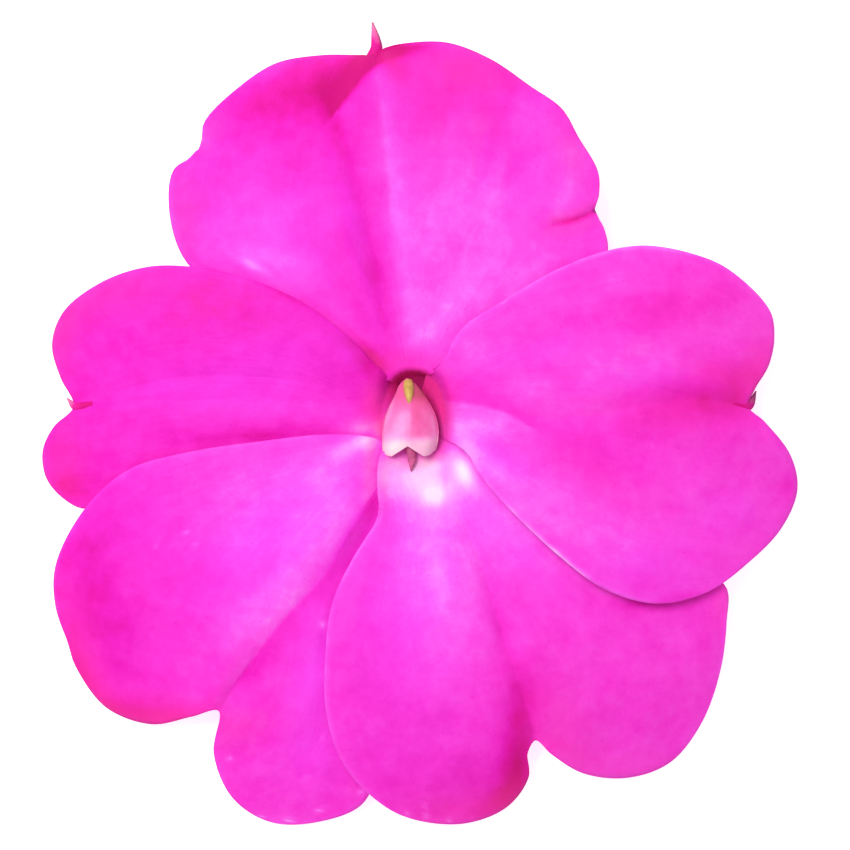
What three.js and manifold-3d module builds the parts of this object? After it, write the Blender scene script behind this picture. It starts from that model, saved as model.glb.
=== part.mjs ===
// One New Guinea impatiens flower, picked and lying face up on a surface.
// Millimetres, +Z up, +Y towards the flower's upper (standard) petal.
// The origin is on the surface, under the middle of the flower.
import * as THREE from "three";
import { mergeVertices } from "three/addons/utils/BufferGeometryUtils.js";
import Module from "manifold-3d";

const wasm = await Module();
wasm.setup();

// Driving dimensions
const BLADE = 0.66; // thickness of a petal
const GRID = { across: 28, along: 14 }; // facets of one petal
const CROWN = { height: 8.6, radius: 8, droop: 0.0088 }; // the gentle dome of the face
const THROAT = { x: -0.6, y: 0.4, halfWidth: 2.5, halfHeight: 4, squareness: 2.5, depth: 3.1, wall: 0.85 };
const POUCH = { centre: [-0.6, -1.9, 4.4], half: [3.6, 4, 4.7], wall: 0.7, mouthSlope: 0.12 };
const SPUR = { root: 1.5, neck: 0.8, end: 0.5 }; // half widths
const STALK = { half: 0.9, receptacle: [-0.75, 4.45, 3], receptacleHalf: [2.6, 2, 1.25] };
const COLUMN = { channelGap: 0.37, lobe: 1.05 };

// Each petal: the height of its seat in the throat over or under the crown, and where its claw stands
// there, in degrees. The margin runs clockwise as seen from above, and a point of it is [x, y, lift],
// where lift is its height over or under the crown. The corners are the numbers of the margin points at
// the first end of the tip, in the notch and at the last end of the tip. The fold is the groove along the
// midrib: its depth at the notch, and its width on the side met first and on the side met last.
const PETALS = {
  dorsal: {
    seat: -0.7,
    claw: [119, 82],
    corners: [7, 15, 27],
    margin: [
      [-2.75, 4.6, -0.7], [-3.95, 5.3, -0.75], [-6.6, 7.2, -0.85], [-12, 9.9, -0.9], [-17.5, 11.6, -1],
      [-20.2, 14.2, -0.9], [-21.4, 18.4, -0.7], [-20.9, 21.6, -1], [-19.2, 22.8, -1.3], [-18.5, 23.7, -1.1],
      [-18.5, 25.6, -1.2], [-15.2, 28.8, -1.8], [-12.2, 30.6, -2.2], [-8.4, 31.4, -2.3], [-5, 31.3, -1.5],
      [-3.8, 30.9, -0.7], [-3.2, 31.8, -0.9], [-1, 32.3, -1.8], [2.3, 32.4, -2.6], [5.8, 31, -2.6],
      [9.3, 28.8, -2.2], [11.9, 26.7, -1.2], [13.2, 24.3, -1], [14.9, 21.4, -0.8], [15.1, 19.4, -0.8],
      [14.7, 17.9, -1.1], [15.5, 16.6, -0.8], [15.7, 14.2, -0.9], [12, 11.6, -0.9], [8, 9.4, -0.8],
      [4.8, 7.7, -0.85], [2.4, 6.15, -0.85], [0.75, 5.15, -0.8],
    ],
    fold: { depth: 1.5, widths: [2.6, 1.3] },
  },
  upperLeft: {
    seat: -0.15,
    claw: [200, 127],
    corners: [5, 11, 16],
    margin: [
      [-4.3, -1.2, -0.3], [-6.4, -1.6, -0.5], [-9, -2.4, -0.8], [-14, -4, -0.9], [-20, -5.3, -0.9],
      [-25.5, -6.4, -1.2], [-28.6, -7.1, -1.4], [-30.6, -6.2, -1.4], [-31.9, -4.6, -1.3], [-32.2, -2.3, -1],
      [-31.2, -0.2, -0.5], [-29.35, 1.5, 0], [-30.5, 4, -0.4], [-31.4, 6.8, -1.1], [-30.3, 9.5, -1.4],
      [-27, 12.1, -0.9], [-23.2, 13.3, -0.1], [-19.5, 13.4, 0.4], [-15.3, 12.5, 0.6], [-10.1, 10.3, 0.6],
      [-5.5, 6.7, 0.5], [-3.7, 4.7, 0.4],
    ],
    fold: { depth: 0.8, widths: [1.6, 1.6] },
  },
  lowerLeft: {
    seat: -0.35,
    claw: [222, 205],
    corners: [7, 12, 20],
    margin: [
      [-3.3, -4.8, -0.7], [-2.95, -6.4, -0.95], [-3.1, -8.5, -0.95], [-3.8, -13, -1.15], [-4.4, -18, -1.3],
      [-4.4, -24, -1.4], [-3.8, -29.3, -1.4], [-5, -32.4, -1.4], [-8.9, -34, -1.1], [-12.9, -34, -1.1],
      [-16, -31.8, -0.9], [-17.5, -28, -0.2], [-17.2, -24.4, 0.2], [-19.5, -24.9, -0.3],
      [-23, -25.6, -0.9], [-26.8, -24, -1.1], [-29.3, -20.6, -1.1], [-30, -18.7, -1], [-31.2, -15.4, -1.2],
      [-31.1, -12, -0.7], [-28.6, -7.3, 0.1], [-24.8, -3.9, 0.5], [-19.5, -2.35, 0.7], [-13, -1.4, 0.7],
      [-8.5, -0.9, 0.5], [-6.2, -0.9, 0.3], [-4.3, -1.1, 0],
    ],
    fold: { depth: 0.9, widths: [2.2, 1] },
  },
  lowerRight: {
    seat: -0.05,
    claw: [344, 244],
    corners: [6, 14, 20],
    margin: [
      [2.9, -1.5, -0.1], [4.3, -2, -0.3], [6.8, -3.4, -0.7], [12, -7, -0.9], [17.5, -10, -0.9],
      [22.5, -12, -0.9], [25.9, -13.8, -0.7], [26, -16.8, -0.4], [25.5, -21, -0.6], [24, -25.4, -0.9],
      [21.2, -28.8, -1.1], [17.7, -30.2, -1.2], [13.9, -29.8, -1.1], [11.1, -28.1, -0.4], [9.75, -26.9, 0.1],
      [9.1, -27.9, -0.2], [9, -30, -0.9], [7.2, -32.6, -1.4], [3.5, -34, -1], [-1.2, -33.5, -0.2],
      [-3.9, -31.9, 0.3], [-6.6, -28.8, 0.65], [-8, -24.5, 0.85], [-8.1, -20.2, 0.9], [-7.5, -15.2, 0.9],
      [-5.9, -11.6, 0.8], [-3.9, -8.2, 0.7], [-3.1, -6.1, 0.6], [-2.7, -4.8, 0.45],
    ],
    fold: { depth: 1.5, widths: [1.4, 2] },
  },
  upperRight: {
    seat: 0.25,
    claw: [68, -20],
    corners: [6, 12, 19],
    margin: [
      [1.6, 5, 0.45], [3.4, 8, 0.5], [7, 10.4, 0.6], [11, 12.8, 0.6], [15.8, 14.7, 0.4],
      [19.1, 15.1, -0.1], [23.2, 14.4, -0.7], [26, 13, -1.2], [29.7, 9.7, -1.8], [30.1, 7.4, -1.8],
      [29.6, 5, -1.4], [28.4, 3, -0.7], [27.8, 1.5, -0.3], [29.2, 0.2, -0.6], [31.5, -2.7, -1.5],
      [32.1, -5.6, -1.8], [30.7, -8.9, -1.4], [27.7, -11.9, -0.5], [24.4, -14.2, 0.3], [20, -15.2, 0.7],
      [15.6, -14, 0.8], [11.6, -11.1, 0.8], [7, -6.7, 0.7], [4.9, -4.2, 0.5], [3.7, -2.2, 0.35],
    ],
    fold: { depth: 1.2, widths: [1.8, 1.6] },
  },
};

const COLOURS = {
  petal: 0xf53ac8,
  stamens: 0xf7b3dc,
  pistil: 0xb9a455,
  pouch: 0xd9a0c0,
  sepal: 0xa3b56c,
  stalk: 0x9aa85c,
};

const vector = (p) => new THREE.Vector3(p[0], p[1], p[2] ?? 0);
const smoothLine = (points) => new THREE.CatmullRomCurve3(points.map(vector), false, "centripetal");

// Height of the face's dome, with the funnel that leads down into the throat.
function crownHeight(x, y) {
  const dx = x - THROAT.x;
  const dy = y - THROAT.y;
  const distance = Math.hypot(dx, dy);
  const power = THROAT.squareness;
  const reach = Math.hypot(
    Math.abs(dx / THROAT.halfWidth) ** (power / 2),
    Math.abs(dy / THROAT.halfHeight) ** (power / 2),
  ) ** (2 / power);
  const outside = reach > 1 ? distance * (1 - 1 / reach) : 0;
  const beyond = Math.max(0, distance - CROWN.radius);
  return CROWN.height - CROWN.droop * beyond ** 2 - THROAT.depth * Math.exp(-((outside / THROAT.wall) ** 2));
}

// A point of the throat's inner outline, a rounded rectangle, at an angle and a height over the crown.
function throatPoint(degrees, lift) {
  const angle = THREE.MathUtils.degToRad(degrees);
  const stretch = (value) => Math.sign(value) * Math.abs(value) ** (2 / THROAT.squareness);
  const x = THROAT.x + THROAT.halfWidth * stretch(Math.cos(angle));
  const y = THROAT.y + THROAT.halfHeight * stretch(Math.sin(angle));
  return new THREE.Vector3(x, y, lift);
}

// The blade's four sides: its claw on the throat, its two side edges and its notched tip.
function petalSides({ claw: [from, to], margin, corners, seat }) {
  const ends = [throatPoint(from, seat), throatPoint(to, seat)];
  const line = smoothLine([ends[0].toArray(), ...margin, ends[1].toArray()]);
  line.arcLengthDivisions = 20 * (margin.length + 1);
  const lengths = line.getLengths();
  const [start, notch, end] = corners.map((k) => lengths[20 * (k + 1)] / lengths.at(-1));
  const { lerp } = THREE.MathUtils;
  return {
    claw: (u) => throatPoint(lerp(from, to, u), seat),
    tip: (u) => line.getPointAt(u < 0.5 ? lerp(start, notch, 2 * u) : lerp(notch, end, 2 * u - 1)),
    first: (v) => line.getPointAt(start * v),
    last: (v) => line.getPointAt(1 - (1 - end) * v),
  };
}

// A point between those sides: x, y and the lift on the crown.
function patchPoint(sides, u, v) {
  const point = sides.claw(u).multiplyScalar(1 - v);
  point.addScaledVector(sides.tip(u), v);
  point.addScaledVector(sides.first(v), 1 - u);
  point.addScaledVector(sides.last(v), u);
  point.addScaledVector(sides.claw(0), -(1 - u) * (1 - v));
  point.addScaledVector(sides.claw(1), -u * (1 - v));
  point.addScaledVector(sides.tip(0), -(1 - u) * v);
  point.addScaledVector(sides.tip(1), -u * v);
  return point;
}

// The middle of the blade's thickness there, sunk in the groove that runs along the midrib (u = 0.5).
function bladePoint(petal, sides, u, v) {
  const { x, y, z: lift } = patchPoint(sides, u, v);
  const midrib = patchPoint(sides, 0.5, v);
  const width = petal.fold.widths[u < 0.5 ? 0 : 1];
  const aside = Math.hypot(x - midrib.x, y - midrib.y) / width;
  const groove = (petal.fold.depth * v) / (1 + aside ** 2);
  return new THREE.Vector3(x, y, crownHeight(x, y) + lift - groove);
}

// The blade as a closed solid: an upper and a lower skin, split into triangles alike, and a rim.
function bladeGeometry(petal) {
  const sides = petalSides(petal);
  const { across, along } = GRID;
  const middle = [];
  for (let j = 0; j <= along; j++) {
    const v = (j / along) ** 1.4; // closer rows near the throat
    for (let i = 0; i <= across; i++) middle.push(bladePoint(petal, sides, i / across, v));
  }
  const at = (i, j) => j * (across + 1) + i;
  const skin = [];
  for (let j = 0; j < along; j++)
    for (let i = 0; i < across; i++) {
      const quad = [at(i, j), at(i, j + 1), at(i + 1, j + 1), at(i + 1, j)];
      const order = i < across / 2 ? [0, 1, 2, 0, 2, 3] : [0, 1, 3, 1, 2, 3];
      skin.push(...order.map((k) => quad[k]));
    }
  const flat = new THREE.BufferGeometry().setFromPoints(middle).setIndex(skin);
  flat.computeVertexNormals();
  const normal = flat.getAttribute("normal");
  const up = middle.map((_, k) => new THREE.Vector3().fromBufferAttribute(normal, k));
  const skinPoints = (side) => middle.map((p, k) => p.clone().addScaledVector(up[k], (side * BLADE) / 2));

  const rim = [];
  for (let j = 0; j < along; j++) rim.push(at(0, j));
  for (let i = 0; i < across; i++) rim.push(at(i, along));
  for (let j = along; j > 0; j--) rim.push(at(across, j));
  for (let i = across; i > 0; i--) rim.push(at(i, 0));
  const faces = [...skin];
  const under = middle.length;
  for (let k = 0; k < skin.length; k += 3) {
    faces.push(skin[k] + under, skin[k + 2] + under, skin[k + 1] + under);
  }
  rim.forEach((a, k) => {
    const b = rim[(k + 1) % rim.length];
    faces.push(a, b + under, b, a, a + under, b + under);
  });
  return new THREE.BufferGeometry().setFromPoints([...skinPoints(1), ...skinPoints(-1)]).setIndex(faces);
}

// A rod with an oval section that changes along a smooth line: sections are [half width, half height].
// The width lies along the given side, or level where no side is given.
function ovalRod(points, sections, { side, facets = 12, steps = 16 } = {}) {
  const line = smoothLine(points);
  const section = smoothLine(sections);
  const rod = new THREE.CylinderGeometry(1, 1, 1, facets, steps);
  const position = rod.getAttribute("position");
  for (let k = 0; k < position.count; k++) {
    const u = 0.5 + position.getY(k);
    const tangent = line.getTangent(u);
    const level = tangent.clone().cross(new THREE.Vector3(0, 0, 1));
    const given = side && vector(side).addScaledVector(tangent, -vector(side).dot(tangent));
    const sideways = (given ?? level).normalize();
    const upward = sideways.clone().cross(tangent);
    const half = section.getPoint(u);
    const p = line.getPoint(u);
    p.addScaledVector(sideways, position.getX(k) * half.x);
    p.addScaledVector(upward, position.getZ(k) * half.y);
    position.setXYZ(k, p.x, p.y, p.z);
  }
  return rod;
}

function ellipsoid(centre, half, facets = 16, rings = 10) {
  return new THREE.SphereGeometry(1, facets, rings).rotateX(Math.PI / 2).scale(...half).translate(...centre);
}

function solidOf(geometry) {
  const bare = geometry.clone();
  bare.deleteAttribute("normal");
  bare.deleteAttribute("uv");
  const merged = mergeVertices(bare, 1e-4);
  const vertProperties = new Float32Array(merged.getAttribute("position").array);
  const triVerts = new Uint32Array(merged.index.array);
  return new wasm.Manifold(new wasm.Mesh({ numProp: 3, vertProperties, triVerts }));
}

function geometryOf(solid) {
  const mesh = solid.getMesh();
  const geometry = new THREE.BufferGeometry();
  geometry.setAttribute("position", new THREE.BufferAttribute(new Float32Array(mesh.vertProperties), 3));
  geometry.setIndex(new THREE.BufferAttribute(new Uint32Array(mesh.triVerts), 1));
  geometry.computeVertexNormals();
  return geometry;
}

// A point of the midrib, a drop under the middle of the blade.
function midribPoint(petal, v, drop = 0) {
  const { x, y, z } = bladePoint(petal, petalSides(petal), 0.5, v);
  return [x, y, z - drop];
}

// The standard's narrow keel, which runs along its back and out past the notch as a pointed horn.
function dorsalPetal() {
  const petal = PETALS.dorsal;
  const shares = [0.3, 0.48, 0.66, 0.84, 0.97];
  const spine = [...shares.map((v) => midribPoint(petal, v, 0.75)), [-4.1, 34.1, 1.6]];
  const sections = [[0.15, 0.3], [0.45, 0.6], [0.5, 0.75], [0.55, 0.8], [0.7, 0.75], [0.08, 0.08]];
  const keel = ovalRod(spine, sections, { facets: 8, steps: 15 });
  return solidOf(bladeGeometry(petal)).add(solidOf(keel));
}

// The two petals of one side, grown together in the claw, and the small point in the upper one's notch.
// Pockets that close between the two blades in the claw are filled.
function wingPetals(upper, lower, pointTip) {
  const spine = [midribPoint(upper, 0.94, 0.1), midribPoint(upper, 1), pointTip];
  const sections = [[0.35, 0.3], [0.4, 0.3], [0.08, 0.08]];
  const point = ovalRod(spine, sections, { facets: 6, steps: 4 });
  const wing = solidOf(bladeGeometry(upper)).add(solidOf(bladeGeometry(lower))).add(solidOf(point));
  return wing.decompose().sort((a, b) => b.volume() - a.volume())[0];
}

// The lower sepal: a hollow pouch behind the throat, drawn out into the long curved spur.
function spurredSepal() {
  const { centre, half, wall, mouthSlope } = POUCH;
  const outer = solidOf(ellipsoid(centre, half));
  const inner = solidOf(ellipsoid(centre, half.map((h) => h - wall)));
  const line = [
    [-0.6, -3.2, 1.7], [-0.6, -6.4, 1.3], [-0.4, -10, 0.86], [1.6, -15, 0.75], [6, -19, 0.68],
    [12, -20.8, 0.62], [17.5, -19.6, 0.56], [21.2, -16.4, 0.5],
  ];
  const widths = [SPUR.root, SPUR.neck + 0.1, SPUR.neck, 0.72, 0.66, 0.6, 0.55, SPUR.end];
  const spur = solidOf(ovalRod(line, widths.map((w) => [w, w]), { facets: 8, steps: 28 }));
  const slab = new THREE.BoxGeometry(80, 80, 20);
  const lid = slab.clone().translate(0, 0, 10).rotateX(-Math.atan(mouthSlope));
  const above = solidOf(lid.translate(...centre));
  const below = solidOf(slab.translate(0, 0, -10));
  return outer.add(spur).subtract(inner).subtract(above).subtract(below);
}

// A small pointed side sepal: a slightly cupped blade, mirrored for the other side.
function sideSepal(sideways) {
  const [x, y] = STALK.receptacle;
  const base = [x + sideways * 3.1, y + 0.9, 3.1];
  const middle = [x + sideways * 5.7, y + 3.6, 3.4];
  const tip = [x + sideways * 9, y + 5.4, 2.6];
  const spine = [base, middle, tip];
  const sections = [[0.6, 0.42], [1.5, 0.4], [1.2, 0.36], [0.25, 0.3]];
  return solidOf(ovalRod(spine, sections, { facets: 12, steps: 8 }));
}

function flowerStalk() {
  const line = [[-0.9, 5, 2.6], [-0.2, 7.4, 2.1], [2, 11, 1.3], [5.4, 16, 0.95], [9.4, 21, 0.95]];
  const rod = ovalRod(line, line.map(() => [STALK.half, STALK.half]), { facets: 10, steps: 12 });
  return solidOf(rod).add(solidOf(ellipsoid(STALK.receptacle, STALK.receptacleHalf, 14, 8)));
}

// The pistil's line and its sections; the same line, grown, is the channel through the stamens.
const ACROSS = [1, 0, 0];
const PISTIL_LINE = [
  [-1.05, 3.4, 4.6], [-1.03, 3.3, 6.6], [-1.0, 2.75, 8.4], [-0.97, 1.7, 9.3], [-0.94, 0.3, 9.2],
  [-0.9, -1.4, 9], [-0.86, -2.8, 9], [-0.8, -4.05, 9.2],
];
const PISTIL_SECTIONS = [
  [0.34, 0.34], [0.38, 0.4], [0.42, 0.45], [0.42, 0.45], [0.42, 0.42], [0.6, 0.42], [0.42, 0.34],
  [0.08, 0.08],
];

function pistil() {
  return solidOf(ovalRod(PISTIL_LINE, PISTIL_SECTIONS, { side: ACROSS, facets: 8, steps: 18 }));
}

// The fused stamens: a hood that arches out of the throat and ends in two lobes, with a channel for
// the pistil that is open at the front near the root and below between the lobes.
function stamenColumn() {
  const line = [[-1.1, 2.1, 4.45], [-1.1, 2.1, 6.4], [-1.05, 1.6, 8.2], [-1, 0.1, 9.6], [-0.92, -1.9, 9.5]];
  const sections = [[0.9, 0.6], [1.05, 0.7], [1.5, 1.2], [2.3, 1.45], [1.9, 1.05]];
  const hood = solidOf(ovalRod(line, sections, { side: ACROSS, facets: 14, steps: 11 }));
  const lobe = (x, y) => solidOf(ellipsoid([x, y, 9.4], [COLUMN.lobe, 1.35, 1], 12, 8));
  const grown = PISTIL_SECTIONS.map((half) => half.map((h) => h + COLUMN.channelGap));
  const channel = solidOf(ovalRod(PISTIL_LINE, grown, { side: ACROSS, facets: 8, steps: 18 }));
  return hood.add(lobe(-2.15, -1.4)).add(lobe(0.35, -1.4)).subtract(channel);
}

const group = new THREE.Group();
group.name = "new_guinea_impatiens_flower";

function addPart(name, solid, colour, roughness) {
  const material = new THREE.MeshStandardMaterial({ color: colour, roughness, metalness: 0 });
  const mesh = new THREE.Mesh(geometryOf(solid), material);
  mesh.name = name;
  group.add(mesh);
}

addPart("dorsal_petal", dorsalPetal(), COLOURS.petal, 0.55);
const leftWing = wingPetals(PETALS.upperLeft, PETALS.lowerLeft, [-30.1, 2.2, 3.6]);
addPart("left_wing_petals", leftWing, COLOURS.petal, 0.55);
const rightWing = wingPetals(PETALS.upperRight, PETALS.lowerRight, [28.5, 2.8, 3.4]);
addPart("right_wing_petals", rightWing, COLOURS.petal, 0.55);
addPart("spurred_sepal", spurredSepal(), COLOURS.pouch, 0.6);
addPart("sepal_left", sideSepal(-1), COLOURS.sepal, 0.6);
addPart("sepal_right", sideSepal(1), COLOURS.sepal, 0.6);
addPart("flower_stalk", flowerStalk(), COLOURS.stalk, 0.6);
addPart("stamen_column", stamenColumn(), COLOURS.stamens, 0.5);
addPart("pistil", pistil(), COLOURS.pistil, 0.5);

export default group;
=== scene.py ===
# %% [markdown]
# # A New Guinea impatiens flower
# One picked flower lies face up on a white table. It has a standard petal at the top, two wings of two
# petals each, and a small column of stamens in its throat. Behind it are a pouch with a long spur, two
# green sepals and the stalk. This lesson models each organ with bmesh and gives it a material of nodes.

import math

import bmesh
import bpy
import numpy as np
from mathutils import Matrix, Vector


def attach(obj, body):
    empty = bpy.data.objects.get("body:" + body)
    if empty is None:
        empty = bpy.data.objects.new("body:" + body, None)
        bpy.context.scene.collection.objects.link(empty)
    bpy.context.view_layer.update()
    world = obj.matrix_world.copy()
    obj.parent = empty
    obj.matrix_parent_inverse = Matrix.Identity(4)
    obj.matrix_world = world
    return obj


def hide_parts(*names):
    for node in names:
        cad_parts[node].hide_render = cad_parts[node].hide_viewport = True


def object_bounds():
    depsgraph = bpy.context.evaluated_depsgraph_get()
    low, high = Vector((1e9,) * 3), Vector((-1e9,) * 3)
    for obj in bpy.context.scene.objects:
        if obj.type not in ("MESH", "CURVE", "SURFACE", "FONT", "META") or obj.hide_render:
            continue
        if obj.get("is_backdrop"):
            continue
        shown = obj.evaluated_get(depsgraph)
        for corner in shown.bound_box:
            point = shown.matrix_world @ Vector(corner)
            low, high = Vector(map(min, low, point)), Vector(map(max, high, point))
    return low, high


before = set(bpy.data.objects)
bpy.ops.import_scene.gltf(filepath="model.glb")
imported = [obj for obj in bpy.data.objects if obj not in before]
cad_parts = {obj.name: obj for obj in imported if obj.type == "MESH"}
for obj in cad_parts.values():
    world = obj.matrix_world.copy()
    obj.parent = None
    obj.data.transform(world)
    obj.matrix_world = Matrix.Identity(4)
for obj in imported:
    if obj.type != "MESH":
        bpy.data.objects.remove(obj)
solids_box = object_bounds()
MM = 0.001
print("solids:", ", ".join(sorted(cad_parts)))

# %% [markdown]
# The flower is seen straight from above. A long lens far away keeps its margin from growing or shrinking
# with its height. The camera is placed first, because every later choice is judged through it.

# %% The camera
VIEW = {"x": 0.34, "y": -0.09, "height": 600, "focus": 3, "across": 72.35, "sensor": 36}

camera_data = bpy.data.cameras.new("camera")
camera_data.sensor_width = VIEW["sensor"]
camera_data.lens = VIEW["sensor"] * (VIEW["height"] - VIEW["focus"]) / VIEW["across"]
camera_data.clip_start = 0.01
camera = bpy.data.objects.new("camera", camera_data)
camera.location = (VIEW["x"] * MM, VIEW["y"] * MM, VIEW["height"] * MM)
bpy.context.scene.collection.objects.link(camera)
bpy.context.scene.camera = camera
print("lens", round(camera_data.lens, 1), "mm")

# %% [markdown]
# The flower stands on plain white, lit by a wide soft light from its upper left and a bright room. An
# area light gives soft shadows, and the world fills them. Plain white needs the standard view transform,
# because the filmic ones turn it grey and wash out strong pinks.

# %% The room and its lights
KEY = {"place": (-0.27, 0.25, 0.69), "size": 0.38, "power": 5.0}
ROOM = 0.64

scene = bpy.context.scene
scene.view_settings.view_transform = "Standard"
world = bpy.data.worlds.new("room")
world.use_nodes = True
world.node_tree.nodes["Background"].inputs["Color"].default_value = (1, 1, 1, 1)
world.node_tree.nodes["Background"].inputs["Strength"].default_value = ROOM
scene.world = world

key_data = bpy.data.lights.new("key", "AREA")
key_data.shape = "DISK"
key_data.size = KEY["size"]
key_data.energy = KEY["power"]
key = bpy.data.objects.new("key", key_data)
key.location = KEY["place"]
key.rotation_euler = (-Vector(KEY["place"])).to_track_quat("-Z", "Y").to_euler()
scene.collection.objects.link(key)
print("key light", KEY["power"], "W")

# %% [markdown]
# A petal is a sheet with four sides: the claw that stands in the throat, two side edges, and the notched
# tip. Its margin is one smooth line through a few listed points. A centripetal spline is used,
# because it doesn't loop or swing out where two points are close.

# %% A smooth line through a few points
STEPS = 24  # steps from one point of a line to the next
ROD_STEPS = 40


def smooth_line(points, steps=STEPS):
    """Short steps along a centripetal Catmull-Rom line, and how far along it each of them is."""
    p = np.array(points, float)
    p = np.vstack([2 * p[0] - p[1], p, 2 * p[-1] - p[-2]])
    t = (np.arange(steps) / steps)[:, None]
    spans = []
    for a, b, c, d in zip(p, p[1:], p[2:], p[3:]):
        ab, bc, cd = (np.linalg.norm(q) ** 0.5 for q in (b - a, c - b, d - c))
        leave = ((b - a) / ab - (c - a) / (ab + bc) + (c - b) / bc) * bc
        arrive = ((c - b) / bc - (d - b) / (bc + cd) + (d - c) / cd) * bc
        spans.append(b + leave * t + (3 * (c - b) - 2 * leave - arrive) * t**2
                     + (2 * (b - c) + leave + arrive) * t**3)
    line = np.vstack(spans + [p[-2:-1]])
    run = np.concatenate([[0], np.cumsum(np.linalg.norm(np.diff(line, axis=0), axis=1))])
    return line, run


def pick(table, places, marks=None):
    """Rows in between a table's rows, which stand at the marks, or else at 0, 1, 2 and so on."""
    marks = np.arange(len(table)) if marks is None else marks
    return np.stack([np.interp(places, marks, column) for column in table.T], -1)


def along(line, run, share):
    """The points at these shares of a line's length."""
    return pick(line, share * run[-1], run)
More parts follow.
